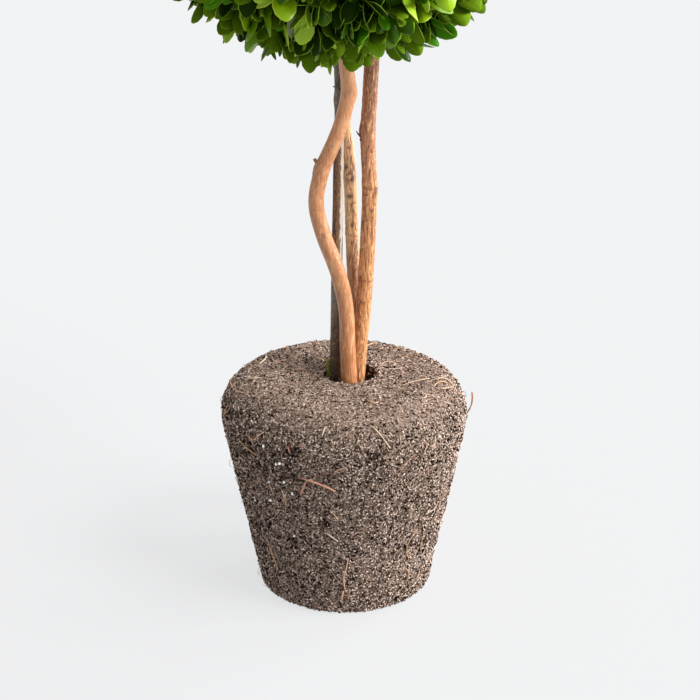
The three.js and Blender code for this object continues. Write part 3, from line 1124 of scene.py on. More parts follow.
@dataclass(frozen=True)
class Strands:
    """The loose straws and roots: the named ones, and shorter ones at random.

    A random one starts within the degrees and the walked millimetres given. Its heading is
    start + bend * t, and it stands least_stand + more_stand * sin(pi t) off the skin. The deal is
    the chance of each tone.
    """

    seed: int = 13
    count: int = 70
    steps: int = 9
    named_lift: float = 0.5
    named_size: float = 0.68
    degrees: Pair = (-75.0, 195.0)
    walked: Pair = (70.0, 222.0)
    degrees_a_millimetre: float = 0.85
    length_shape: float = 5.0
    length_scale: float = 1.9
    least_stand: float = 0.35
    more_stand: float = 0.6
    radii: Pair = (0.18, 0.38)
    unevenness: float = 0.18
    deal: tuple[float, ...] = (0.3, 0.35, 0.2, 0.15)

    def loose_walk(self, rng: Rng, share: Array) -> Array:
        """The stops of a strand at random.

        Args:
            rng: Source of random numbers.
            share: Places along it, from 0 to 1.

        Returns:
            Rows of (degrees around, millimetres walked, millimetres off the skin).
        """
        degrees, walked = rng.uniform(*self.degrees), rng.uniform(*self.walked)
        heading, bend = rng.uniform(0, 2 * np.pi), rng.normal(0, 1.0)
        length = rng.gamma(self.length_shape, self.length_scale)
        way = heading + bend * share
        aside = degrees + np.cos(way) * share * length * self.degrees_a_millimetre
        stand = self.least_stand + self.more_stand * np.sin(np.pi * share)
        return np.column_stack([aside, walked + np.sin(way) * share * length, stand])

    def build(self, ball: RootBall) -> None:
        """Makes the strands, smoothed where they bend and thinner at their starts.

        Args:
            ball: The root ball that they lie on.
        """
        rng = np.random.default_rng(self.seed)
        share = np.linspace(0, 1, self.steps)
        walks, tones, thick = [], [], []
        for strand in STRANDS:
            stops = np.array(strand.stops) + [0, 0, self.named_lift]
            walks.append(read_off(share, np.linspace(0, 1, len(stops)), stops))
            tones.append(number(strand.tone))
            thick.append(self.named_size * strand.thickness)
        for _ in range(self.count):
            walks.append(self.loose_walk(rng, share))
            tones.append(int(rng.choice(len(self.deal), p=self.deal)))
            thick.append(rng.uniform(*self.radii))
        paths = ball.on_skin(np.array(walks))
        paths[:, 1:-1] = (paths[:, :-2] + 2 * paths[:, 1:-1] + paths[:, 2:]) / 4
        uneven = 1 + self.unevenness * rng.normal(0, 1, (len(walks), self.steps)).clip(-1.5, 1.5)
        radii = np.array(thick)[:, None] * uneven * np.minimum(1, 0.55 + 2 * share)
        lean = unit(paths[:, self.steps // 2] - [0, 0, ball.height / 3] + 1e-3)
        strands = tubes(paths, radii, lean, 6, np.array(tones))
        strands.piece("peat_strands", palette(StrandTone), "root_ball")


@dataclass(frozen=True)
class Grains:
    """White mineral grains, the named ones and others at random.

    Each is a small ball of rings, from -steepest to steepest, with uneven radii.
    """

    seed: int = 14
    count: int = 16
    degrees: Pair = (60.0, 205.0)
    walked: Pair = (75.0, 190.0)
    lift: float = 0.55
    named_sizes: Pair = (0.65, 0.95)
    loose_sizes: Pair = (0.3, 0.7)
    unevenness: Pair = (0.6, 1.3)
    steepest: float = 1.3
    rings: int = 5
    sides: int = 7

    def build(self, ball: RootBall) -> None:
        """Makes the grains.

        Args:
            ball: The root ball that they lie on.
        """
        rng = np.random.default_rng(self.seed)
        loose = [rng.uniform(*self.degrees, self.count), rng.uniform(*self.walked, self.count)]
        places = np.vstack([np.array(GRAINS, float), np.column_stack(loose)])
        count = len(places)
        middles = ball.on_skin(np.column_stack([places, np.full(count, self.lift)]))
        large, small = rng.uniform(*self.named_sizes, count), rng.uniform(*self.loose_sizes, count)
        size = np.where(np.arange(count) < len(GRAINS), large, small)
        reach = size[:, None, None] * rng.uniform(*self.unevenness, (count, self.rings, self.sides))
        rise = np.linspace(-self.steepest, self.steepest, self.rings)
        way = toward(rise[:, None], full_turn(self.sides)[None, :])
        lumps = [closed_rings(middle + far[..., None] * way) for middle, far in zip(middles, reach)]
        finish = PlainFinish("perlite", (0.95, 0.94, 0.92), roughness=0.7)
        Shape.joined(lumps).piece("peat_grains", [finish.material()], "root_ball")


@dataclass(frozen=True)
class Moss:
    """The tuft of moss on the slender stem's foot, where it comes out of the hollow.

    Each thread is root + length * (way * t + sag * droop * t^2). The threads gather towards one
    side of the stem as they climb it.
    """

    seed: int = 15
    count: int = 170
    middle: Pair = (-6.4, 4.9)
    side: float = 186.0
    spread: float = 26.0
    gathering: float = 12.0
    reach: float = 3.3
    climb: float = 13.0
    sag: float = 0.3
    lengths: Pair = (0.7, 1.9)
    radii: Pair = (0.16, 0.32)
    taper: tuple[float, ...] = (0.8, 1.0, 0.9, 0.5)
    deal: tuple[float, ...] = (0.65, 0.35)

    def build(self, ball: RootBall) -> None:
        """Makes the moss.

        Args:
            ball: The root ball in whose hollow it grows.
        """
        rng = np.random.default_rng(self.seed)
        count, share = self.count, np.linspace(0, 1, len(self.taper))[None, :, None]
        rise = rng.beta(1.2, 1.8, count)
        angle = np.radians(rng.normal(self.side, self.spread - self.gathering * rise))
        outward = toward(0 * angle, angle)
        low = ball.height - ball.hollow_depth / 2
        foot = np.column_stack([np.tile(self.middle, (count, 1)), low + self.climb * rise])
        root = outward * self.reach + foot
        way = unit(outward + rng.normal(0, 0.6, (count, 3)) + [0, 0, 0.5])
        droop = rng.normal(0, 1, (count, 3)) * [1, 1, 0.3]
        length = rng.uniform(*self.lengths, count)[:, None, None]
        bent = way[:, None, :] * share + self.sag * droop[:, None, :] * share**2
        paths = root[:, None, :] + length * bent
        radii = rng.uniform(*self.radii, count)[:, None] * np.array(self.taper)
        lean = np.tile([0.2, 1.0, 0.1], (count, 1))
        threads = tubes(paths, radii, lean, 3, rng.choice(len(self.deal), count, p=self.deal))
        threads.piece("hollow_moss", palette(MossTone), "root_ball")


# ---- Stems -----------------------------------------------------------------------------------


@dataclass(frozen=True)
class Spur:
    """A cut side shoot or a thorn: where it stands on its stem, how it points, and its size."""

    height: float
    degrees: float
    lift: float
    length: float
    radius: float
    tip: float
    color: Color


@dataclass
class Stem:
    """One bare stem: a path with its radii, and the bark that covers it.

    Knobs are (height, degrees, stand), scars (height, degrees, size), the pale band painted as a
    highlight (height, degrees, half height), and joints heights.
    """

    name: str
    radii: Triple
    route: tuple[Triple, ...]
    knobs: tuple[Triple, ...]
    finish: BarkFinish
    slot: str
    seed: int
    crack_depth: float
    scars: tuple[Triple, ...] = ()
    highlight_streak: Triple | None = None
    joints: tuple[float, ...] = ()
    spurs: tuple[Spur, ...] = ()
    sides: int = 72
    pitch: float = 0.6
    foot: float = 124.8
    top: float = 372.0
    broad_cell: Triple = (6, 6, 22)
    ridge_cell: Triple = (1.5, 1.5, 8.5)
    thread_cell: Triple = (0.9, 0.9, 4.5)
    torn_cell: Triple = (1.3, 1.3, 2.0)
    rough_cell: Triple = (0.9, 0.9, 2.6)
    ridge_crack: float = 0.2
    thread_crack: float = 0.14
    crack_mark: float = 0.8
    swell: float = 0.16
    thread_rise: float = 0.05
    knob_size: Pair = (4.2, 0.5)
    scar_rise: float = 0.35
    joint_rise: float = 0.22
    streak_width: float = 0.5
    streak_rise: float = 0.12
    spur_depth: float = 0.9

    @cached_property
    def line(self) -> Array:
        """The middle line: a centripetal Catmull-Rom curve through the route.

        Between two points the curve is the cubic a + bt + ct^2 + dt^3 whose end slopes come from
        the neighbouring points, with steps of distance^0.5.

        Returns:
            Rows of height, x, y, close together and rising.
        """
        points = np.array(self.route)
        ends = (2 * points[0] - points[1], 2 * points[-1] - points[-2])
        guide = np.vstack([ends[0], points, ends[1]])
        gap = np.sqrt(np.linalg.norm(np.diff(guide, axis=0), axis=1))[:, None]
        p0, p1, p2, p3 = guide[:-3], guide[1:-2], guide[2:-1], guide[3:]
        d0, d1, d2 = gap[:-2], gap[1:-1], gap[2:]
        leave = ((p1 - p0) / d0 - (p2 - p0) / (d0 + d1) + (p2 - p1) / d1) * d1
        reach = ((p2 - p1) / d1 - (p3 - p1) / (d1 + d2) + (p3 - p2) / d2) * d1
        t = np.linspace(0, 1, 60)[:, None, None]
        cubic = (
            p1 + leave * t + (3 * (p2 - p1) - 2 * leave - reach) * t**2
            + (2 * (p1 - p2) + leave + reach) * t**3
        )
        return cubic.transpose(1, 0, 2).reshape(-1, 3)

    def at(self, heights: Array) -> tuple[Array, Array]:
        """The middle line's x and y at some heights."""
        level, x, y = self.line.T
        return np.interp(heights, level, x), np.interp(heights, level, y)

    def radius(self, heights: Array) -> Array:
        """The smooth radius: the parabola through those at the foot, half way and at the tip.

        Args:
            heights: Heights from the foot to the top.

        Returns:
            The radius at each of them.
        """
        t = (heights - self.foot) / (self.top - self.foot)
        low, half, high = self.radii
        return low * (1 - t) * (1 - 2 * t) + 4 * half * t * (1 - t) + high * t * (2 * t - 1)

    def spot(
        self, height: Array, angle: Array, level: float, degrees: float, tall: float, wide: float
    ) -> Array:
        """A round swelling exp(-(aside/wide)^2 - (along/tall)^2).

        Args:
            height: Heights of the points.
            angle: Directions of the points.
            level: The spot's height.
            degrees: Its direction.
            tall: Its half height in millimetres.
            wide: Its half width in radians.

        Returns:
            Values from 0 to 1.
        """
        aside = np.arccos(np.cos(angle - math.radians(degrees))) / wide
        along = (height - level) / tall
        return np.exp(-aside * aside - along * along)

    def bark(self, height: Array, angle: Array, smooth: Array) -> tuple[Array, dict[str, Array]]:
        """The bark's relief and its marks.

        Cracks run where a long noise and a finer one cross zero. The relief is a broad noise,
        less the cracks, plus the knobs, the torn scars, a low ring at each joint and a raised band that
        carries a painted highlight.

        Args:
            height: Heights of the points, as [row, point around].
            angle: Their directions.
            smooth: Their smooth radii.

        Returns:
            How far the points stand off their smooth radii, and the marks by name.
        """
        unrolled = np.stack([smooth * np.cos(angle), smooth * np.sin(angle), height], -1)
        broad = LatticeNoise(self.seed).at(unrolled, self.broad_cell)
        ridges = np.abs(LatticeNoise(self.seed + 1).at(unrolled, self.ridge_cell))
        threads = np.abs(LatticeNoise(self.seed + 2).at(unrolled, self.thread_cell))
        torn = LatticeNoise(self.seed + 3).at(unrolled, self.torn_cell)
        crack = soft_step(self.ridge_crack - ridges, 0.0, self.ridge_crack)
        crack = crack + 0.5 * soft_step(self.thread_crack - threads, 0.0, self.thread_crack)
        crack = crack.clip(0, 1) * soft_step(broad, -0.75, 0.15)
        off = self.swell * broad - self.crack_depth * crack + self.thread_rise * threads
        for level, degrees, stand in self.knobs:
            off = off + stand * self.spot(height, angle, level, degrees, *self.knob_size)
        scar, highlight_streak = np.zeros_like(height), np.zeros_like(height)
        for level, degrees, size in self.scars:
            mark = self.spot(height, angle, level, degrees, size, size / self.radii[1])
            scar = np.maximum(scar, mark * soft_step(torn, -0.55, 0.2))
            off = off + self.scar_rise * mark * torn
        for level in self.joints:
            ring = np.exp(-(((height - level + 1.2 * np.sin(angle + level)) / 0.9) ** 2))
            crack = np.maximum(crack, 0.7 * ring)
            off = off + self.joint_rise * np.exp(-(((height - level - 1.6) / 2.2) ** 2))
        # a slightly raised pale band, painted as a highlight on the lit side
        if self.highlight_streak is not None:
            level, degrees, half = self.highlight_streak
            rough = LatticeNoise(self.seed + 4).at(unrolled, self.rough_cell)
            band = self.spot(height, angle, level, degrees, half, self.streak_width) + 0.26 * rough
            highlight_streak = soft_step(band, 0.42, 0.62)
            off = off + self.streak_rise * highlight_streak
        return off, {"crack": self.crack_mark * crack, "scar": scar, "highlight_streak": highlight_streak}

    def build(self) -> None:
        """Makes the stem as level rings up its middle line, and then its spurs.

        A ring is stretched the way that the line leans, so that the stem stays round.
        """
        heights = np.linspace(self.foot, self.top, int((self.top - self.foot) / self.pitch))
        x, y = self.at(heights)
        dx, dy = np.gradient(x, heights)[:, None], np.gradient(y, heights)[:, None]
        angle = full_turn(self.sides)[None, :]
        height = heights[:, None] + 0 * angle
        smooth = self.radius(height)
        off, marks = self.bark(height, angle, smooth)
        reach = smooth + off
        cos, sin = np.cos(angle), np.sin(angle)
        stretch = (cos * dx + sin * dy) * reach / (1 + np.sqrt(1 + dx * dx + dy * dy))
        rings = np.stack([
            x[:, None] + reach * cos + dx * stretch,
            y[:, None] + reach * sin + dy * stretch,
            height,
        ], -1)
        marks = {key: np.append(values.clip(0, 1), [0, 0]) for key, values in marks.items()}
        shape = closed_rings(rings)
        shape.piece(f"{self.name}_bark", [self.finish.material()], self.slot, (self.name,), marks)
        if self.spurs:
            self.build_spurs()

    def build_spurs(self) -> None:
        """Makes the spurs: short tapering tubes that start inside the bark and bend upwards."""
        share = np.linspace(0, 1, 5)
        paths, radii, lean, materials = [], [], [], []
        for place, spur in enumerate(self.spurs):
            turn, lift = math.radians(spur.degrees), math.radians(spur.lift)
            x, y = self.at(spur.height)
            out = np.array([math.cos(turn), math.sin(turn), 0.0])
            start = np.array([x, y, spur.height]) + out * (self.radius(spur.height) - self.spur_depth)
            bend = lift * (0.6 + 0.4 * share[:, None])
            way = out * np.cos(bend) + np.array([0, 0, 1.0]) * np.sin(bend)
            paths.append(start + way * share[:, None] * spur.length)
            radii.append(spur.radius + (spur.tip - spur.radius) * share)
            lean.append([-out[1], out[0], 0.0])
            finish = PlainFinish(f"{self.name}_spur_{place}", spur.color, roughness=0.75)
            materials.append(finish.material())
        shape = tubes(np.array(paths), np.array(radii), np.array(lean), 8, np.arange(len(paths)))
        shape.piece(f"{self.name}_spurs", materials, self.slot)


TAN_BARK = BarkFinish(
    "bark_tan",
    BarkKind.SMOOTH,
    (
        # painted light: the coat is lighter from 295 mm up, standing in for light that the crown's shade
        # takes
        (125, (0.34, 0.125, 0.043)), (165, (0.40, 0.152, 0.056)), (215, (0.40, 0.168, 0.069)),
        (265, (0.40, 0.160, 0.065)), (295, (0.565, 0.247, 0.108)), (345, (0.74, 0.345, 0.162)),
    ),
    crack=(0.26, 0.10, 0.048),
    ridge=(0.62, 0.34, 0.17),
    scar=(0.10, 0.055, 0.035),
    roughness=0.36,
)
RED_BARK = BarkFinish(
    "bark_red",
    BarkKind.CRACKED,
    (
        (125, (0.52, 0.222, 0.076)), (190, (0.50, 0.213, 0.073)), (245, (0.50, 0.208, 0.073)),
        # painted shade: the coat darkens from 270 mm up for the crown's shadow
        (270, (0.44, 0.185, 0.08)), (292, (0.33, 0.130, 0.062)), (345, (0.24, 0.098, 0.055)),
    ),
    crack=(0.16, 0.056, 0.025),
    ridge=(0.80, 0.43, 0.20),
    scar=(0.10, 0.055, 0.04),
    roughness=0.5,
)
BROWN_BARK = BarkFinish(
    "bark_brown",
    BarkKind.CRACKED,
    (
        (125, (0.50, 0.23, 0.11)), (180, (0.64, 0.33, 0.185)), (205, (0.64, 0.345, 0.19)),
        # painted light: the coat is much lighter from 225 mm up, standing in for side light that the
        # right stem blocks
        (225, (0.98, 0.57, 0.27)), (290, (0.96, 0.54, 0.27)), (345, (0.80, 0.44, 0.23)),
    ),
    crack=(0.33, 0.145, 0.065),
    ridge=(0.98, 0.64, 0.34),
    scar=(0.11, 0.055, 0.045),
    roughness=0.55,
)
GREY_BARK = BarkFinish(
    "bark_grey",
    BarkKind.FLECKED,
    (
        (125, (0.075, 0.042, 0.027)), (160, (0.10, 0.066, 0.05)), (182, (0.19, 0.16, 0.135)),
        (212, (0.16, 0.105, 0.068)), (240, (0.145, 0.072, 0.034)), (270, (0.125, 0.064, 0.033)),
        (292, (0.15, 0.12, 0.095)), (345, (0.17, 0.15, 0.13)),
    ),
    crack=(0.04, 0.025, 0.017),
    ridge=(0.25, 0.20, 0.16),
    scar=(0.46, 0.27, 0.10),
    roughness=0.6,
    specular=0.35,
    # painted highlight: the pale band on the lit side
    highlight_streak=(0.56, 0.475, 0.385),
)

STEMS = (
    Stem(
        "stem_bowed",
        radii=(4.9, 4.5, 4.1),
        route=(
            (124.8, 3.0, -6.2), (154, 1.6, -5.4), (180, 0.6, -5), (202, -4.0, -5), (229, -13.4, -5),
            (246, -16.7, -5), (264, -13.6, -5), (292, -2.6, -5), (312, 1.9, -5), (330, 0.6, -5),
            (372, -1.5, -8),
        ),
        knobs=((268, 172, 0.8), (311, 8, 1.1), (227, 250, 0.7)),
        finish=TAN_BARK,
        slot="smooth_bark",
        seed=21,
        crack_depth=0.05,
        scars=((227, 262, 2.4), (264, 192, 1.3), (281, 268, 0.7), (243, 255, 0.7)),
        spurs=(
            Spur(269.5, 176, 52, 3.6, 1.15, 1.0, (0.26, 0.14, 0.08)),
            Spur(160, 205, 35, 1.7, 0.6, 0.4, (0.40, 0.22, 0.12)),
        ),
    ),
    Stem(
        "stem_right",
        radii=(4.5, 4.45, 4.2),
        route=(
            (124.8, 6.9, 4.2), (157, 9.2, 3.4), (183, 11.4, 3), (233, 14.1, 3), (251, 14.5, 3),
            (285, 13.4, 3), (310, 14.6, 3), (372, 17.5, 2),
        ),
        knobs=((287, 188, 0.9), (252, 330, 0.9), (240, 282, 0.5)),
        finish=RED_BARK,
        slot="rough_bark",
        seed=31,
        crack_depth=0.25,
        scars=((252, 322, 1.5), (240, 284, 1.4), (284, 196, 1.9), (268, 214, 1.6)),
        joints=(195.0, 254.0),
        spurs=(
            Spur(283.5, 196, 48, 5.2, 0.95, 0.2, (0.06, 0.038, 0.032)),
            Spur(281.5, 206, 30, 1.8, 0.9, 0.6, (0.11, 0.06, 0.045)),
        ),
    ),
    Stem(
        "stem_middle",
        radii=(3.9, 3.8, 3.3),
        route=(
            (124.8, 5.6, 13.2), (173, 5.9, 12.2), (212, 4.4, 11.6), (255, 3.1, 11.6),
            (273, 1.7, 11.6), (292, -0.6, 11.6), (325, -1.0, 11.8), (372, 5, 15),
        ),
        knobs=((258, 262, 0.7), (247, 285, 0.5)),
        finish=BROWN_BARK,
        slot="rough_bark",
        seed=41,
        crack_depth=0.25,
        scars=((262, 264, 5.0), (257, 282, 3.6), (268, 284, 2.2), (246, 262, 1.6), (228, 246, 2.6)),
        joints=(221.0,),
    ),
    Stem(
        "stem_slender",
        radii=(3.6, 3.1, 2.9),
        route=(
            (124.8, -6.8, 5.2), (143, -5.8, 4.6), (182, -5.2, 4.2), (257, -3.9, 4), (325, -3.4, 4),
            (372, -9, 7),
        ),
        knobs=((305, 182, 0.6),),
        finish=GREY_BARK,
        slot="grey_bark",
        seed=51,
        crack_depth=0.08,
        # painted highlight along the lit right side
        highlight_streak=(250, 318, 62),
        spurs=(Spur(312.5, 188, 20, 1.9, 0.55, 0.3, (0.24, 0.20, 0.17)),),
    ),
)


# ---- Crown -----------------------------------------------------------------------------------


@dataclass
class LeafForm:
    """The blade of a leaf: rings across it from its stalk to its blunt tip.

    At u along the blade and v across it (-1 to 1), a point of the upper face stands at
    thickness / 2 - arch * width * w^2 * v^2 - droop * length * u^2, where w is the share of the
    full width at u. The lower face runs one thickness under it, and the edges lie between them.
    The strips between the points of a ring are numbered from the first edge; the last two of them
    are the lower face.
    """

    length: float = 19.4
    width: float = 10.8
    thickness: float = 0.42
    stations: tuple[float, ...] = (0.0, 0.14, 0.36, 0.6, 0.8, 0.94, 1.0)
    widths: tuple[float, ...] = (0.1, 0.35, 0.81, 1.0, 0.85, 0.47, 0.13)
    upper: tuple[float, ...] = (1.0, 0.91, 0.05, -0.05, -0.91, -1.0)
    edge_strips: tuple[int, int] = (0, 4)
    rib_strip: int = 2
    bright: tuple[LeafTone, LeafTone] = (LeafTone.FRESH, LeafTone.LIME)

    def blades(
        self,
        root: Array,
        along: Array,
        face: Array,
        size: Array,
        arch: Array,
        droop: Array,
        tone: Array,
        ribbed: Array,
    ) -> Shape:
        """Many leaves at once.

        Args:
            root: Where each stalk starts, as [leaf, xyz].
            along: Direction of each midrib.
            face: Direction that each upper face looks in, roughly.
            size: Each leaf's size as a share of the full one.
            arch: How strongly each blade is arched across.
            droop: How strongly each blade curves back along its length.
            tone: Number of each blade's green.
            ribbed: Whether each blade shows a pale midrib.

        Returns:
            All the leaves in one shape.
        """
        across = unit(np.cross(face, along))
        up = np.cross(along, across)
        u = np.array(self.stations)[None, :, None]
        v = np.array((*self.upper, 0.0))[None, None, :]
        wide = np.array(self.widths)[None, :, None]
        length, width = (full * size[:, None, None] for full in (self.length, self.width))
        level = np.array([0.5 * (abs(edge) < 1) for edge in self.upper] + [-0.5])
        rise = -arch[:, None, None] * width * wide**2 * v**2 - droop[:, None, None] * length * u**2
        rise = rise + self.thickness * level * np.minimum(1, 4 * wide)
        run, side = u * length + 0 * v, 0.5 * v * wide * width
        points = root[:, None, None, :] + sum(
            part[..., None] * way[:, None, None, :]
            for part, way in ((run, along), (side, across), (rise, up))
        )
        rows, around = len(self.stations), len(self.upper) + 1
        strip = np.tile(np.arange(around), rows - 1)[None, :]
        pale = np.isin(tone, [number(green) for green in self.bright])
        # the rims and ends take a paler tone: a painted highlight where they catch the light
        edge = np.where(pale, number(LeafTone.PALE_EDGE), number(LeafTone.DARK_EDGE))
        blade = np.where(strip >= around - 2, number(LeafTone.UNDERSIDE), tone[:, None])
        # pale midribs take the rims' tone
        rim_highlight_or_rib = np.isin(strip, self.edge_strips) | (strip == self.rib_strip) & ribbed[:, None]
        return capped(points, np.where(rim_highlight_or_rib, edge[:, None], blade), edge)


@dataclass
class Crown:
    """The clipped ball: sprigs that stand straight out of a dark ball of painted shade, cut to one
    sphere.

    The deal is the chance of each green for a sprig. A leaf opens away from its twig by
    top_opening degrees, and more for each pair further down. Sways are standard deviations, and
    the arch and the droop of the leaves are (mean, sway).
    """

    centre: Triple = (-6.0, 0.0, 444.3)
    radius: float = 121.0
    inside_radius: float = 85.0
    inside_lumps: tuple[Layer, ...] = ((61, 9.0, 2.4), (62, 3.5, 1.2))
    root_depth: float = 3.0
    sprigs: int = 620
    tilt: float = 0.22
    twig_steps: int = 5
    twig_radii: Pair = (0.85, 0.45)
    shortfall: Pair = (0.4, 5.5)
    leaf_share: float = 0.84
    pairs: int = 5
    pair_gap: float = 4.6
    top_opening: float = 19.0
    more_opening: float = 8.0
    opening_sway: float = 9.0
    turn_sway: float = 0.35
    face_sway: float = 0.75
    top_loss: float = 0.1
    size_sway: float = 0.12
    sizes: Pair = (0.62, 1.22)
    arch: Pair = (0.17, 0.12)
    droop: Pair = (0.12, 0.12)
    clip_gap: float = 0.4
    stem_gap: float = 1.0
    deal: tuple[float, ...] = (0.20, 0.15, 0.18, 0.18, 0.175, 0.065, 0.05)
    young_share: float = 0.25
    ribbed_share: float = 0.12
    parts: int = 4
    leaf: LeafForm = field(default_factory=LeafForm)

    def directions(self, rng: Rng) -> Array:
        """Evenly spread directions by the golden angle: z = 1 - (2k + 1) / n, turned k times.

        Args:
            rng: Source of random numbers, which shift them a little.

        Returns:
            One direction for each sprig.
        """
        k = np.arange(self.sprigs)
        rise = np.arcsin(1 - (2 * k + 1) / self.sprigs)
        even = toward(rise, k * np.pi * (3 - math.sqrt(5)))
        return unit(even + rng.normal(0, 0.03, even.shape))

    def clear_of_stems(self, points: Array) -> Array:
        """Whether groups of points keep their distance from every stem.

        Args:
            points: Places as [group, point, xyz].

        Returns:
            One answer for each group.
        """
        nearest = np.full(points.shape[:-1], np.inf)
        for stem in STEMS:
            x, y = stem.at(points[..., 2])
            away = np.hypot(points[..., 0] - x, points[..., 1] - y)
            nearest = np.minimum(nearest, away - stem.radius(points[..., 2].clip(stem.foot, stem.top)))
        return nearest.min(-1) > self.stem_gap

    def down_twig(self, paths: Array, below: float) -> Array:
        """The points of the twigs that lie a distance below their tips.

        Args:
            paths: The twigs' middle lines as [sprig, step, xyz].
            below: The distance.

        Returns:
            One point for each twig, on the straight line between two of its steps.
        """
        length = np.linalg.norm(paths[:, -1] - paths[:, 0], axis=-1)
        at = (1 - below / length).clip(0, 1) * (paths.shape[1] - 1)
        step = np.minimum(at.astype(int), paths.shape[1] - 2)
        index = np.arange(len(paths))
        start, after = paths[index, step], paths[index, step + 1]
        return start + (after - start) * (at - step)[:, None]

    def build(self) -> None:
        """Makes the twigs, the leaves and the dark core of painted shade.

        A twig is foot + length * (normal * t + (lean - normal) * t^2).
        """
        rng = np.random.default_rng(5)
        normal = self.directions(rng)
        lean = unit(normal + rng.normal(0, self.tilt, normal.shape))
        start = self.inside_radius - self.root_depth
        end = self.radius - rng.uniform(*self.shortfall, self.sprigs)
        end = end - self.leaf_share * self.leaf.length
        share = np.linspace(0, 1, self.twig_steps)[None, :, None]
        bent = normal[:, None, :] * share + (lean - normal)[:, None, :] * share**2
        foot = np.array(self.centre) + normal * start
        paths = foot[:, None, :] + (end - start)[:, None, None] * bent
        side = unit(np.cross(normal, rng.normal(0, 1, normal.shape)))
        grown = self.clear_of_stems(paths)
        count = int(grown.sum())
        thick = np.tile(np.linspace(*self.twig_radii, self.twig_steps), (count, 1))
        twigs = tubes(paths[grown], thick, side[grown], 4, np.zeros(count, int))
        bark = PlainFinish("twig_green", (0.11, 0.10, 0.02), roughness=0.6).material()
        twigs.piece("crown_twigs", [bark], "foliage", ("crown",))
        self.build_leaves(rng, paths, side, grown)
        self.build_shade_core()

    def build_leaves(self, rng: Rng, paths: Array, side: Array, grown: Array) -> None:
        """Makes the pairs of leaves, each pair turned a quarter from the last, in several pieces.

        A leaf whose tip would pass the clipped ball starts that much lower on its twig. Some of
        the top leaves are young, and take the next lighter green.

        Args:
            rng: Source of random numbers.
            paths: The twigs' middle lines as [sprig, step, xyz].
            side: A direction across each twig.
            grown: Whether each twig is there.
        """
        count = self.sprigs
        axis = unit(paths[:, -1] - paths[:, -2])
        across = unit(side - axis * (side * axis).sum(-1, keepdims=True))
        other = np.cross(axis, across)
        deal = rng.choice(len(self.deal), count, p=self.deal)
        lightens = deal < number(LeafTone.LIME)
        parts: list[tuple[Array, ...]] = []
        for pair in range(self.pairs):
            root = self.down_twig(paths, pair * self.pair_gap)
            for half in (0, 1):
                turn = np.pi * half + np.pi / 2 * pair + rng.normal(0, self.turn_sway, count)
                out = np.cos(turn)[:, None] * across + np.sin(turn)[:, None] * other
                opening = self.top_opening + self.more_opening * pair
                opening = np.radians(opening + rng.normal(0, self.opening_sway, count))[:, None]
                along = unit(axis * np.cos(opening) + out * np.sin(opening))
                twist = rng.normal(0, self.face_sway, count)[:, None]
                face = unit(axis + twist * np.cross(along, axis))
                size = rng.normal(1.0 - self.top_loss * (pair == 0), self.size_sway, count)
                size = size.clip(*self.sizes)
                tip = root + along * (self.leaf.length * size)[:, None] - self.centre
                over = (np.linalg.norm(tip, axis=-1) - self.radius + self.clip_gap).clip(0)
                root = root - axis * over[:, None]
                arch, droop = rng.normal(*self.arch, count), rng.normal(*self.droop, count)
                young = (rng.random(count) < self.young_share) & (pair == 0) & lightens
                ribbed = rng.random(count) < self.ribbed_share
                parts.append((root, along, face, size, arch, droop, deal + young, ribbed))
        leaves = [np.concatenate(group) for group in zip(*parts)]
        root, along, _, size = leaves[:4]
        reach = self.leaf.length * size[:, None]
        probes = np.stack([root + along * reach * share for share in (0.3, 0.65, 1.0)], 1)
        keep = self.clear_of_stems(probes) & np.tile(grown, 2 * self.pairs)
        materials = [LeafFinish(tone).material() for tone in LeafTone]
        for part, group in enumerate(np.array_split(np.flatnonzero(keep), self.parts), 1):
            blades = self.leaf.blades(*(values[group] for values in leaves))
            blades.piece(f"crown_leaves_{part}", materials, "foliage", ("crown",))
        LOG.info("leaves kept: %d of %d", keep.sum(), len(keep))

    def build_shade_core(self) -> None:
        """Makes the dark core of painted shade: a lumpy ball r = radius + lumps, in rings from pole to
        pole.
        """
        steep = np.pi / 2 - 0.02
        way = toward(np.linspace(-steep, steep, 110)[:, None], full_turn(200)[None, :])
        lumps = layered(way * self.inside_radius, self.inside_lumps)
        rings = np.array(self.centre) + way * (self.inside_radius + lumps)[..., None]
        closed_rings(rings).piece("crown_shade_core", [ShadeCoreFinish().material()], "foliage", ("crown",))


# ---- Studio ----------------------------------------------------------------------------------


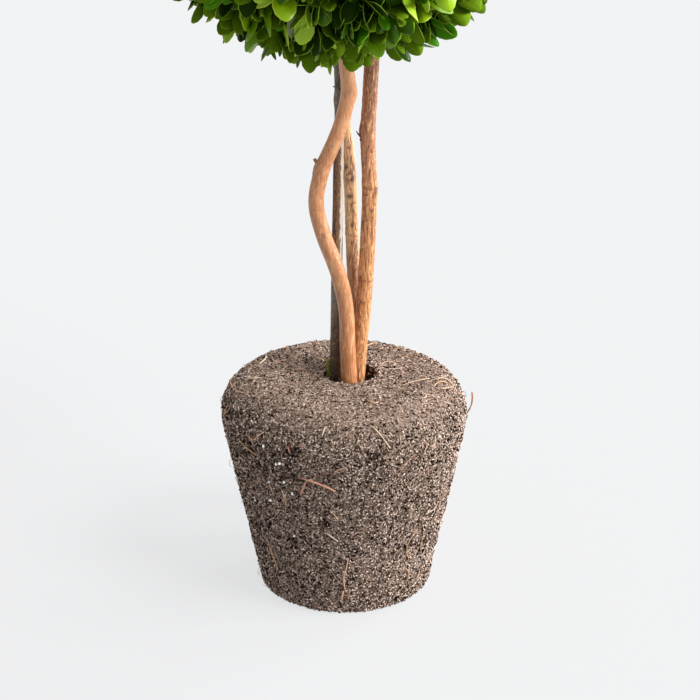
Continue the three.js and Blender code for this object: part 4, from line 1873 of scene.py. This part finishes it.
@dataclass
class Studio:
    """Pale floor, soft light from the right and above, and the camera.

    A sun is (name, strength, degrees above the floor, degrees round to the right from the front,
    degrees that it spreads over).
    """

    lens: float = 102.857
    sensor: float = 36.0
    nearest: float = 0.02
    farthest: float = 60.0
    camera_at: Triple = (3.0, -1116.5, 599.8)
    look_down: float = 21.87
    floor_half: float = 9.0
    sky: float = 0.56
    sky_color: Color = (0.98, 0.99, 1.0)
    sun_color: Color = (1.0, 0.995, 0.98)
    suns: tuple[tuple[str, float, float, float, float], ...] = (
        ("key", 3.6, 42.5, 56.0, 27.0),
        ("side", 3.8, 17.0, 90.0, 24.0),
        ("back", 2.4, 22.0, 128.0, 30.0),
    )

    def build_light(self) -> None:
        """Makes the soft far lights and the even light of the sky."""
        for name, strength, rise, turn, spread in self.suns:
            lamp = bpy.data.lights.new(name, "SUN")
            lamp.energy = strength
            lamp.angle = math.radians(spread)
            lamp.color = self.sun_color
            placed(name, lamp).rotation_euler = (math.radians(90 - rise), 0, math.radians(turn))
        world = bpy.data.worlds.new("sky")
        world.use_nodes = True
        background = world.node_tree.nodes["Background"]
        background.inputs["Color"].default_value = (*self.sky_color, 1)
        background.inputs["Strength"].default_value = self.sky
        bpy.context.scene.world = world

    def build_floor(self) -> None:
        """Makes the floor."""
        half = self.floor_half
        mesh = bpy.data.meshes.new("floor")
        corners = [(-half, -half, 0), (half, -half, 0), (half, half, 0), (-half, half, 0)]
        mesh.from_pydata(corners, [], [(0, 1, 2, 3)])
        mesh.materials.append(FloorFinish().material())
        placed("floor", mesh)

    def build_camera(self) -> None:
        """Makes the camera, which looks down at the plant from the front."""
        data = bpy.data.cameras.new("camera")
        data.lens, data.sensor_width = self.lens, self.sensor
        data.clip_start, data.clip_end = self.nearest, self.farthest
        camera = placed("camera", data)
        camera.location = tuple(part * MM for part in self.camera_at)
        camera.rotation_euler = (math.radians(90 - self.look_down), 0, 0)
        bpy.context.scene.camera = camera
        bpy.context.scene.view_settings.view_transform = "Standard"

    def build(self) -> None:
        """Makes the floor, the lights, the sky and the camera."""
        self.build_floor()
        self.build_light()
        self.build_camera()


def main() -> None:
    """Builds the studio and the plant in order."""
    logging.basicConfig(level=logging.INFO, format="%(name)s: %(message)s")
    Studio().build()
    RootBall().build()
    for stem in STEMS:
        stem.build()
    Crown().build()


if __name__ == "__main__":
    main()
